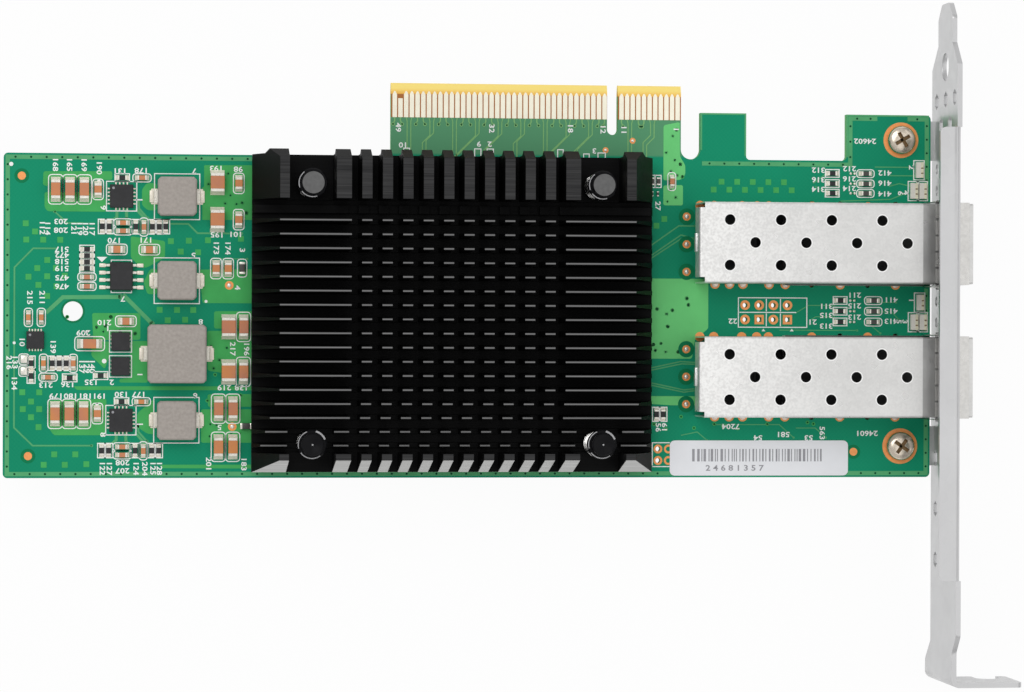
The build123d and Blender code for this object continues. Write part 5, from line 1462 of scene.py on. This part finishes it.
@dataclass
class SmallParts:
    """Solder and outlines of the parts that stand on the board, and the marks of the chips."""

    nodes: dict[str, bpy.types.Object]
    families: tuple[str, ...] = ("bulk_capacitor", "small_capacitor", "resistor", "ferrite")
    reach_least: float = 0.28
    reach_grown: float = 0.16
    long_part: float = 3.2
    climb_share: float = 0.75
    climb_most: float = 1.0
    toe: Flat = (0.45, 0.35)
    wide_chip: float = 1.9
    chip_pitches: Flat = (0.5, 0.65)
    pad_half: Flat = (0.27, 0.13)
    pad_height: float = 0.16
    terminal_margin: float = 0.2

    def boxes(self, family: str) -> list[Span]:
        """Whole box of each part of a family, body and ends together.

        Args:
            family: name of the family.

        Returns:
            The least and greatest corner of each part.
        """
        ends, whole = islands(self.nodes[f"{family}_ends"]), []
        for low, high in islands(self.nodes[f"{family}_bodies"]):
            for other_low, other_high in ends:
                gap = [max(low[k] - other_high[k], other_low[k] - high[k]) for k in range(2)]
                if max(gap) < 0.01:
                    low = Vector(min(low[k], other_low[k]) for k in range(3))
                    high = Vector(max(high[k], other_high[k]) for k in range(3))
            whole.append((low, high))
        return whole

    def fillets(self, solder: Workpiece, low: Vector, high: Vector) -> None:
        """Solder that climbs both ends of a part.

        Args:
            solder: takes the solder.
            low: least corner of the part.
            high: greatest corner.
        """
        size = high - low
        along = 0 if size.x > size.y else 1
        across = 1 - along
        reach = self.reach_least + self.reach_grown * min(size[along], self.long_part) / (self.long_part / 2)
        climb = min(size.z * self.climb_share, self.climb_most)
        for side, face in ((-1, low[along]), (1, high[along])):
            a, b = [0.0, 0.0, 0.0], [0.0, 0.0, climb]
            a[along], b[along] = sorted((face - side * 0.05, face + side * reach))
            a[across], b[across] = low[across] - 0.05, high[across] + 0.05
            for v in solder.box(tuple(a), tuple(b)):
                if v.co.z > climb / 2 and (v.co[along] - face) * side > reach / 2:
                    v.co[along] = face + side * reach * self.toe[0]
                    v.co.z = climb * self.toe[1]
                    v.co[across] += (0.08 if v.co[across] < (low[across] + high[across]) / 2 else -0.08)

    def outline(self, ink: Workpiece, family: str, low: Vector, high: Vector) -> None:
        """Printed outline of a part, a capsule or a rectangle by family.

        Args:
            ink: the white print.
            family: name of the part's family.
            low: least corner of the part.
            high: greatest corner.
        """
        size = high - low
        along = 0 if size.x > size.y else 1
        length, width = size[along], size[1 - along]
        if family == "resistor":
            margins, corner = (0.45, 0.28), 0.0
        elif width > 2.0:
            return
        elif length > 2.5:
            margins, corner = (0.95, 0.42), 0.55
        else:
            margins, corner = (0.78, 0.3), 0.5
        ink.frame(low, high, margins if along == 0 else margins[::-1], corner)

    def side_pads(self, tin: Workpiece, low: Vector, high: Vector) -> None:
        """Plated ends that show round a leadless package.

        Args:
            tin: takes the plated ends.
            low: least corner of the package.
            high: greatest corner.
        """
        middle, half = (low + high) / 2, (high.x - low.x) / 2
        wide = half > self.wide_chip
        pitch = self.chip_pitches[wide]
        tin.at(0.0, self.pad_height)
        for axis, count in ((0, 5), (1, 4)) if wide else ((1, 5),):
            for side in (-1, 1):
                for n in range(count):
                    spot = middle.copy()
                    spot[axis] += side * (half + 0.14)
                    spot[1 - axis] += pitch * (n - (count - 1) / 2)
                    tin.block(spot.xy, self.pad_half if axis == 0 else self.pad_half[::-1], 0.04)

    def terminals(self, solder: Workpiece) -> None:
        """Solder of the coils' terminals and of the driver chip's leads.

        Args:
            solder: takes the solder.
        """
        def toe(span: Span, inner_x: float, out: float, widen: float, height: float, bevel: float) -> None:
            """Solder at the end of a lead that points away from a place.

            Args:
                span: box of the lead.
                inner_x: x of the place.
                out: how far it reaches past the tip.
                widen: how far it stands out at both sides.
                height: its height.
                bevel: its rounding.
            """
            low, high = span
            side, tip = (1, high.x) if low.x > inner_x else (-1, low.x)
            x0, x1 = sorted((tip - side * 0.3, tip + side * out))
            solder.box((x0, low.y - widen, 0.0), (x1, high.y + widen, height), bevel)

        coils = [(low + high) / 2 for name in ("small_coils", "large_coil")
                 for low, high in islands(self.nodes[name])]
        for low, high in islands(self.nodes["coil_terminals"]):
            nearest = min(coils, key=lambda c: (c - (low + high) / 2).length)
            toe((low, high), nearest.x, 0.45, -0.1, 0.5, 0.12)
            x0, x1 = low.x - self.terminal_margin, high.x + self.terminal_margin
            y0, y1 = low.y - self.terminal_margin, high.y + self.terminal_margin
            solder.at(0.0, 0.09).polygon([(x0, y0), (x1, y0), (x1, y1), (x0, y1)], 0.15)
        for span in islands(self.nodes["driver_leads"]):
            toe(span, centre(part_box("driver_chip"))[0] / MM, 0.8, 0.12, 0.22, 0.08)

    def build(self) -> None:
        """Make the solder, outlines and chip details."""
        solder, ink, dots = Workpiece(), Workpiece(PRINT_LAYER), Workpiece()
        for family in self.families:
            for low, high in self.boxes(family):
                self.fillets(solder, low, high)
                self.outline(ink, family, low, high)
        for low, high in islands(self.nodes["regulator_chips"]):
            self.side_pads(solder, low, high)
            dots.at(high.z - 0.02, high.z + 0.01).drum((low.x + 0.6, high.y - 0.6), 0.22)
        self.terminals(solder)
        solder.finish("solder_fillets", FILLET, Slot.TIN)
        ink.finish("part_outlines", INK, Slot.FILM)
        dots.finish("chip_marks", GREY_INK, Slot.MOULDING)


@dataclass
class BoardCorners:
    """Rounded inner corners of the board's outline, at the latch slot and the shoulders."""

    shoulder: float = -12.85
    overlap: float = 0.05
    steps: int = 8
    inside: float = 0.002
    corners: tuple[tuple[float, int, float], ...] = (
        (12.2, 1, 1.75), (15.7, -1, 1.75), (23.9, 1, 0.7), (41.95, -1, 0.8))

    def build(self) -> None:
        """Make the corner pieces, a hair thinner than the board."""
        work = Workpiece((-BOARD_THICK + self.inside, -self.inside))
        for x, side, radius in self.corners:
            points = [(x - side * self.overlap, self.shoulder - self.overlap)]
            for step in range(self.steps + 1):
                angle = math.radians(90.0 / self.steps * step)
                points.append((x + side * radius * (1 - math.sin(angle)),
                               self.shoulder + radius * (1 - math.cos(angle))))
            work.polygon(points)
        work.finish("board_corners", MASK, Slot.BOARD)


@dataclass
class EdgeParts:
    """Small two-ended parts at the board's far end and beside the heatsink."""

    plain: tuple[tuple[float, float, float, float, float], ...] = (
        (-64.88, -32.5, 1.0, 2.1, 0.8), (-64.1, -59.9, 2.1, 1.0, 0.8), (8.2, -16.8, 0.6, 1.35, 0.4),
        (7.1, -16.8, 0.6, 1.35, 0.4), (8.1, -19.0, 0.35, 0.85, 0.3), (7.1, -19.0, 0.35, 0.85, 0.3))
    white: tuple[tuple[float, float, float, float, float], ...] = (
        (-102.35, -48.4, 1.15, 1.35, 0.6), (-102.35, -50.45, 1.15, 1.35, 0.6))
    cap: float = 0.4
    cap_length: float = 2.1

    def span(self, x: float, y: float, width: float, length: float, tall: float) -> Span:
        """Box of a part that stands on the board."""
        return Vector((x - width / 2, y - length / 2, 0.0)), Vector((x + width / 2, y + length / 2, tall))

    def caps(self, ends: Workpiece, low: Vector, high: Vector, along: int) -> None:
        """Plated caps at both ends of a part.

        Args:
            ends: takes the caps.
            low: least corner of the part.
            high: greatest corner.
            along: axis that the part lies along.
        """
        cap = self.cap * min(1.0, (high[along] - low[along]) / self.cap_length)
        for side in (0, 1):
            a, b = low.copy(), high.copy()
            if side:
                a[along] = high[along] - cap
            else:
                b[along] = low[along] + cap
            a[1 - along] -= 0.02
            b[1 - along] += 0.02
            ends.box((a.x, a.y, 0.0), (b.x, b.y, high.z + 0.02), min(0.06, high.z / 8))

    def build(self) -> None:
        """Make bodies, ends and printed outlines."""
        bodies, ends, ink = Workpiece(), Workpiece(), Workpiece(PRINT_LAYER)
        for sizes in self.plain:
            low, high = self.span(*sizes)
            _, _, width, length, tall = sizes
            along = 0 if width > length else 1
            bodies.box((*low.xy, 0.05), tuple(high), min(0.08, tall / 8))
            self.caps(ends, low, high, along)
            if along and tall > 0.5:
                ink.frame(low, high, (0.3, 0.5), 0.5)
            elif along and length > 1.0:
                ink.frame(low, high, (0.2, 0.4))
        for sizes in self.white:
            low, high = self.span(*sizes)
            ends.box(tuple(low), tuple(high), 0.15)
            ink.frame(low, high, (0.26, 0.22), 0.4)
        bodies.finish("edge_part_bodies", FERRITE, Slot.MOULDING)
        ends.finish("edge_part_ends", TIN, Slot.TIN)
        ink.finish("edge_part_outlines", INK, Slot.FILM)


@dataclass
class CageSolder:
    """Solder and pads of the cages' legs where they show beside the covers."""

    middles: tuple[float, ...]
    pad_radius: float = 0.85
    north_offsets: tuple[float, ...] = (6.7, 6.98)
    south_offset: float = 7.1
    south: tuple[float, ...] = (18.4, 21.0, 23.4, 28.1, 31.0, 40.9, 50.9)
    north: tuple[float, ...] = (15.7, 18.2, 23.2, 25.9, 28.0, 35.8, 45.9)

    def build(self) -> None:
        """Make the pads and the domes of solder."""
        bare, tin = Workpiece(PAD_LAYER), Workpiece()
        for middle, north_offset in zip(self.middles, self.north_offsets):
            for x in self.south:
                place = (x, middle - self.south_offset)
                bare.drum(place, self.pad_radius, sides=24)
                tin.ball((*place, 0.03), 0.62, 0.45, 14)
            for x in self.north:
                bare.drum((x, middle + north_offset), self.pad_radius, sides=24)
        bare.finish("cage_pads", COPPER, Slot.GOLD)
        tin.finish("cage_solder", WARM_TIN, Slot.TIN)


@dataclass
class CageShadeSheets:
    """Dark sheet on the board inside each cage, in front of the connector, as painted shade where little light
    reaches.
    """

    middles: tuple[float, ...]
    start: float = 24.7
    end: float = 30.5
    half: float = 6.7
    thick: float = 0.12

    def build(self) -> None:
        """Make both painted shade sheets."""
        work = Workpiece()
        for y in self.middles:
            work.box((self.start, y - self.half, 0.0), (self.end, y + self.half, self.thick))
        work.finish("cage_shade_sheets", MOULDING, Slot.MOULDING)


@dataclass
class LabelPrint:
    """Plain grey bars and figures on the label."""

    bars: tuple[float, float, float, float] = (14.4, 38.4, -66.1, -63.9)
    bar_end: float = 0.7
    bar_widths: tuple[float, ...] = (0.18, 0.18, 0.3, 0.45)
    bar_gaps: tuple[float, ...] = (0.2, 0.3, 0.45)
    figures: str = "2 4 6 8 1 3 5 7"
    figures_place: Flat = (22.0, -67.3)
    figures_height: float = 1.0

    def build(self) -> None:
        """Print the label."""
        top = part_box("label")[1].z / MM
        low, high = top - 0.01, top + 0.012
        work = Workpiece((low, high))
        x, x1, y0, y1 = self.bars
        shaker = random.Random(11)
        while x < x1 - self.bar_end:
            width = shaker.choice(self.bar_widths)
            work.box((x, y0, low), (x + width, y1, high))
            x += width + shaker.choice(self.bar_gaps)
        work.digits(self.figures, self.figures_place, self.figures_height)
        work.finish("label_print", GREY_INK, Slot.FILM)


@dataclass
class BoardBack:
    """Copper, solder and print on the board's far face."""

    nodes: dict[str, bpy.types.Object]
    cage_middles: tuple[float, ...] = (-27.7, -51.1)
    face: float = -BOARD_THICK
    copper: float = 0.035
    pitch: float = 2.8
    square_grid: tuple[int, int] = (3, 12)
    square_first: Flat = (-99.0, -25.6)
    border: tuple[Flat, ...] = (
        (-60.0, -13.55), (-105.2, -13.55), (-105.2, -68.2), (56.5, -68.2), (56.5, -5.35), (42.65, -5.35),
        (42.65, -13.55), (16.0, -13.55))
    border_width: float = 0.75
    pours: tuple[tuple[float, float, float, float], ...] = (
        (-98.0, -66.0, -16.0, -23.0), (-98.0, -66.0, -55.0, -63.0), (-44.0, -14.0, -25.0, -55.0))
    thermal_vias: int = 9
    thermal_pitch: float = 3.0
    thermal_first: Flat = (-40.5, -52.0)
    loose_vias: int = 60
    loose_x: Flat = (-100.0, 54.0)
    loose_y: Flat = (-66.0, -15.5)
    trace_count: int = 6
    trace_width: float = 0.2
    contact_end: float = -6.1
    legs: tuple[float, ...] = (18.3, 23.3, 28.1, 35.8, 40.9, 45.9, 50.9)
    leg_offsets: Flat = (6.92, 7.18)
    wide_from: float = 30.0
    leg_pad: float = 0.95
    leg_cone: Flat = (0.32, 0.7)
    port_pads: int = 10
    pin_ring: Flat = (2.6, 1.62)
    pin_print: Flat = (3.2, 3.0)
    controller_box: tuple[Flat, ...] = ((-43.0, -24.0), (-13.0, -24.0), (-13.0, -56.0), (-43.0, -56.0))

    def traces(self, copper: Workpiece) -> None:
        """Three bundles of traces that leave the contacts.

        Args:
            copper: the covered copper.
        """
        for n in range(self.trace_count):
            x, drop = -38.0 + 1.5 * n, -22.5 - 1.1 * n
            copper.stroke([(x, self.contact_end), (x, -14.5 - 0.6 * n), (-46.0, drop), (-60.0, drop)],
                          self.trace_width)
            copper.stroke([(-20.0 + 3 * n, self.contact_end), (-20.0 + 3 * n, -22.0)], self.trace_width)
            x, y = 2.0 + 1.6 * n, -15.2 - 1.1 * n
            copper.stroke([(x, self.contact_end), (x, y), (9.0 + 2.0 * n, y - 8.0), (20.0, y - 8.0)],
                          self.trace_width)

    def cage_legs(self, copper: Workpiece, bare: Workpiece, tin: Workpiece) -> None:
        """Pads and solder of the cages' legs and the pads of the ports.

        Args:
            copper: the covered copper.
            bare: the bare copper.
            tin: the solder.
        """
        for middle in self.cage_middles:
            for side in (-1, 1):
                for x in self.legs:
                    place = (x, middle + side * self.leg_offsets[x > self.wide_from])
                    bare.drum(place, self.leg_pad, sides=24)
                    tin.drum(place, *self.leg_cone, 18)
                for n in range(self.port_pads):
                    x, near, far = 16.0 + 0.8 * n, middle + side * 2.2, middle + side * 4.2
                    copper.stroke([(x, near), (x, far)], 0.3)

    def build(self) -> None:
        """Make the back's details."""
        low, high = self.face - self.copper, self.face + 0.01
        copper, holes, bare = Workpiece((low, high)), Workpiece((low - 0.006, high)), Workpiece((low - 0.01, high))
        tin, ink = Workpiece((self.face - 0.5, high)), Workpiece((low - 0.02, high))
        copper.stroke(self.border, self.border_width)
        for row in range(self.square_grid[0]):
            for n in range(self.square_grid[1]):
                x, y = self.square_first
                copper.block((x + self.pitch * n + self.pitch / 2 * (row % 2), y - 1.45 * row), (0.5, 0.5))
        for x0, x1, y0, y1 in self.pours:
            copper.polygon([(x0, y0), (x1, y0), (x1, y1), (x0, y1)], 0.8)
        x, y = self.thermal_first
        for n in range(self.thermal_vias):
            for m in range(self.thermal_vias):
                holes.drum((x + self.thermal_pitch * n, y + self.thermal_pitch * m), 0.2, sides=10)
        shaker = random.Random(5)
        for _ in range(self.loose_vias):
            via(copper, holes, (shaker.uniform(*self.loose_x), shaker.uniform(*self.loose_y)))
        self.traces(copper)
        self.cage_legs(copper, bare, tin)
        for x in HEADER_X:
            for y in HEADER_Y:
                bare.ring((x, y), *PIN_RING)
        for span in islands(self.nodes["push_pins"]):
            bare.ring(centre(span), *self.pin_ring, 36)
            ink.ring(centre(span), *self.pin_print, 36)
        ink.stroke(self.controller_box, self.trace_width, closed=True)
        for work, name, finish, slot in (
                (copper, "back_traces", COVERED, Slot.BOARD), (holes, "back_vias", HOLE, Slot.BOARD),
                (bare, "back_pads", COPPER, Slot.GOLD), (tin, "back_solder", TIN, Slot.TIN),
                (ink, "back_print", INK, Slot.FILM)):
            work.finish(name, finish, slot)


@dataclass
class Studio:
    """Camera, lights and backdrop."""

    eye: Point = (-93.56, -45.0, 613.57)
    turn: Point = (-0.0014, -0.1231, 0.0033)
    lens: float = 124.09
    sensor: float = 36.0
    clip: Flat = (0.01, 20.0)
    floor: float = -7.75
    floor_half: float = 3.0
    paper: Colour = (0.80, 0.80, 0.80)
    white: Colour = (1.0, 1.0, 1.0)
    paper_glow: float = 0.95
    world_strength: float = 0.62
    target: Point = (-20.0, -35.0, 0.0)

    def camera(self) -> None:
        """Set the camera as the picture was taken."""
        data = bpy.data.cameras.new("camera")
        data.lens, data.sensor_width, data.sensor_fit = self.lens, self.sensor, "HORIZONTAL"
        data.clip_start, data.clip_end = self.clip
        camera = bpy.data.objects.new("camera", data)
        camera.rotation_mode = "ZYX"
        camera.rotation_euler = self.turn
        camera.location = Vector(self.eye) * MM
        bpy.context.scene.collection.objects.link(camera)
        bpy.context.scene.camera = camera

    def lamp(self, name: str, place: Point, size: float, power: float) -> None:
        """Soft square lamp that faces the card.

        Args:
            name: the lamp's name.
            place: where it stands.
            size: its side.
            power: its power in watts.
        """
        data = bpy.data.lights.new(name, "AREA")
        data.shape, data.size, data.energy = "SQUARE", size * MM, power
        lamp = bpy.data.objects.new(name, data)
        lamp.location = Vector(place) * MM
        lamp.rotation_euler = (Vector(self.target) - Vector(place)).to_track_quat("-Z", "Y").to_euler()
        bpy.context.scene.collection.objects.link(lamp)

    def sheet(self) -> bpy.types.Material:
        """Paper that takes light and shadow, nearly all of it white glow to the camera and to mirrors.

        Returns:
            The paper's material.
        """
        bench = NodeBench("paper")
        path = bench.node("LightPath")
        seen = path.outputs["Is Camera Ray"]
        for ray in ("Is Glossy Ray", "Is Transmission Ray"):
            seen = bench.math("MAXIMUM", seen, path.outputs[ray])
        paper = bench.node("BsdfDiffuse", Color=self.paper)
        glow = bench.node("Emission", Color=self.white, Strength=1.0)
        mix = bench.node("MixShader")
        parts = (bench.times(seen, self.paper_glow), paper.outputs[0], glow.outputs[0])
        for socket, part in zip(mix.inputs, parts):
            bench.feed(socket, part)
        bench.node("OutputMaterial", Surface=mix.outputs[0])
        return bench.material

    def backdrop(self) -> None:
        """White floor that keeps a faint shadow of the card."""
        bm = bmesh.new()
        bmesh.ops.create_grid(bm, x_segments=1, y_segments=1, size=self.floor_half,
                              matrix=Matrix.Translation((0.0, 0.0, self.floor * MM)))
        mesh = bpy.data.meshes.new("floor")
        bm.to_mesh(mesh)
        bm.free()
        mesh.materials.append(self.sheet())
        floor = bpy.data.objects.new("floor", mesh)
        bpy.context.scene.collection.objects.link(floor)

    def world(self) -> None:
        """Pale surroundings."""
        world = bpy.data.worlds.new("studio")
        world.use_nodes = True
        background = world.node_tree.nodes["Background"]
        background.inputs["Color"].default_value = (*self.white, 1.0)
        background.inputs["Strength"].default_value = self.world_strength
        bpy.context.scene.world = world

    def build(self) -> None:
        """Set up everything round the card."""
        self.camera()
        self.world()
        self.backdrop()
        self.lamp("key", (-280.0, 280.0, 620.0), 520.0, 1.8)
        self.lamp("fill", (380.0, -180.0, 600.0), 800.0, 1.0)
        bpy.context.scene.view_settings.view_transform = "Standard"


def main() -> None:
    """Build the card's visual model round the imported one."""
    logging.basicConfig(level=logging.INFO, format="%(name)s: %(message)s")
    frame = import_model()
    nodes = frame["nodes"]
    pins, screws = ([centre(span) for span in islands(nodes[name])] for name in ("push_pins", "bracket_screws"))
    cages = [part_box(f"{side}_cage_cover") for side in SIDES]
    middles = tuple((low.y + high.y) / 2 / MM for low, high in cages)
    KeptNodes(nodes).dress()
    ContactEdge(nodes["edge_contacts_front"]).build()
    PushPins(pins, sum(y for _, y in pins) / len(pins)).build()
    BracketScrews(screws).build()
    for side, (low, high) in zip(SIDES, cages):
        ModuleCage(side, low / MM, high / MM).build()
    BoardCorners().build()
    EdgeParts().build()
    CageSolder(middles).build()
    CageShadeSheets(middles).build()
    Artwork(nodes).build()
    SmallParts(nodes).build()
    LabelPrint().build()
    BoardBack(nodes).build()
    Studio().build()


if __name__ == "__main__":
    main()
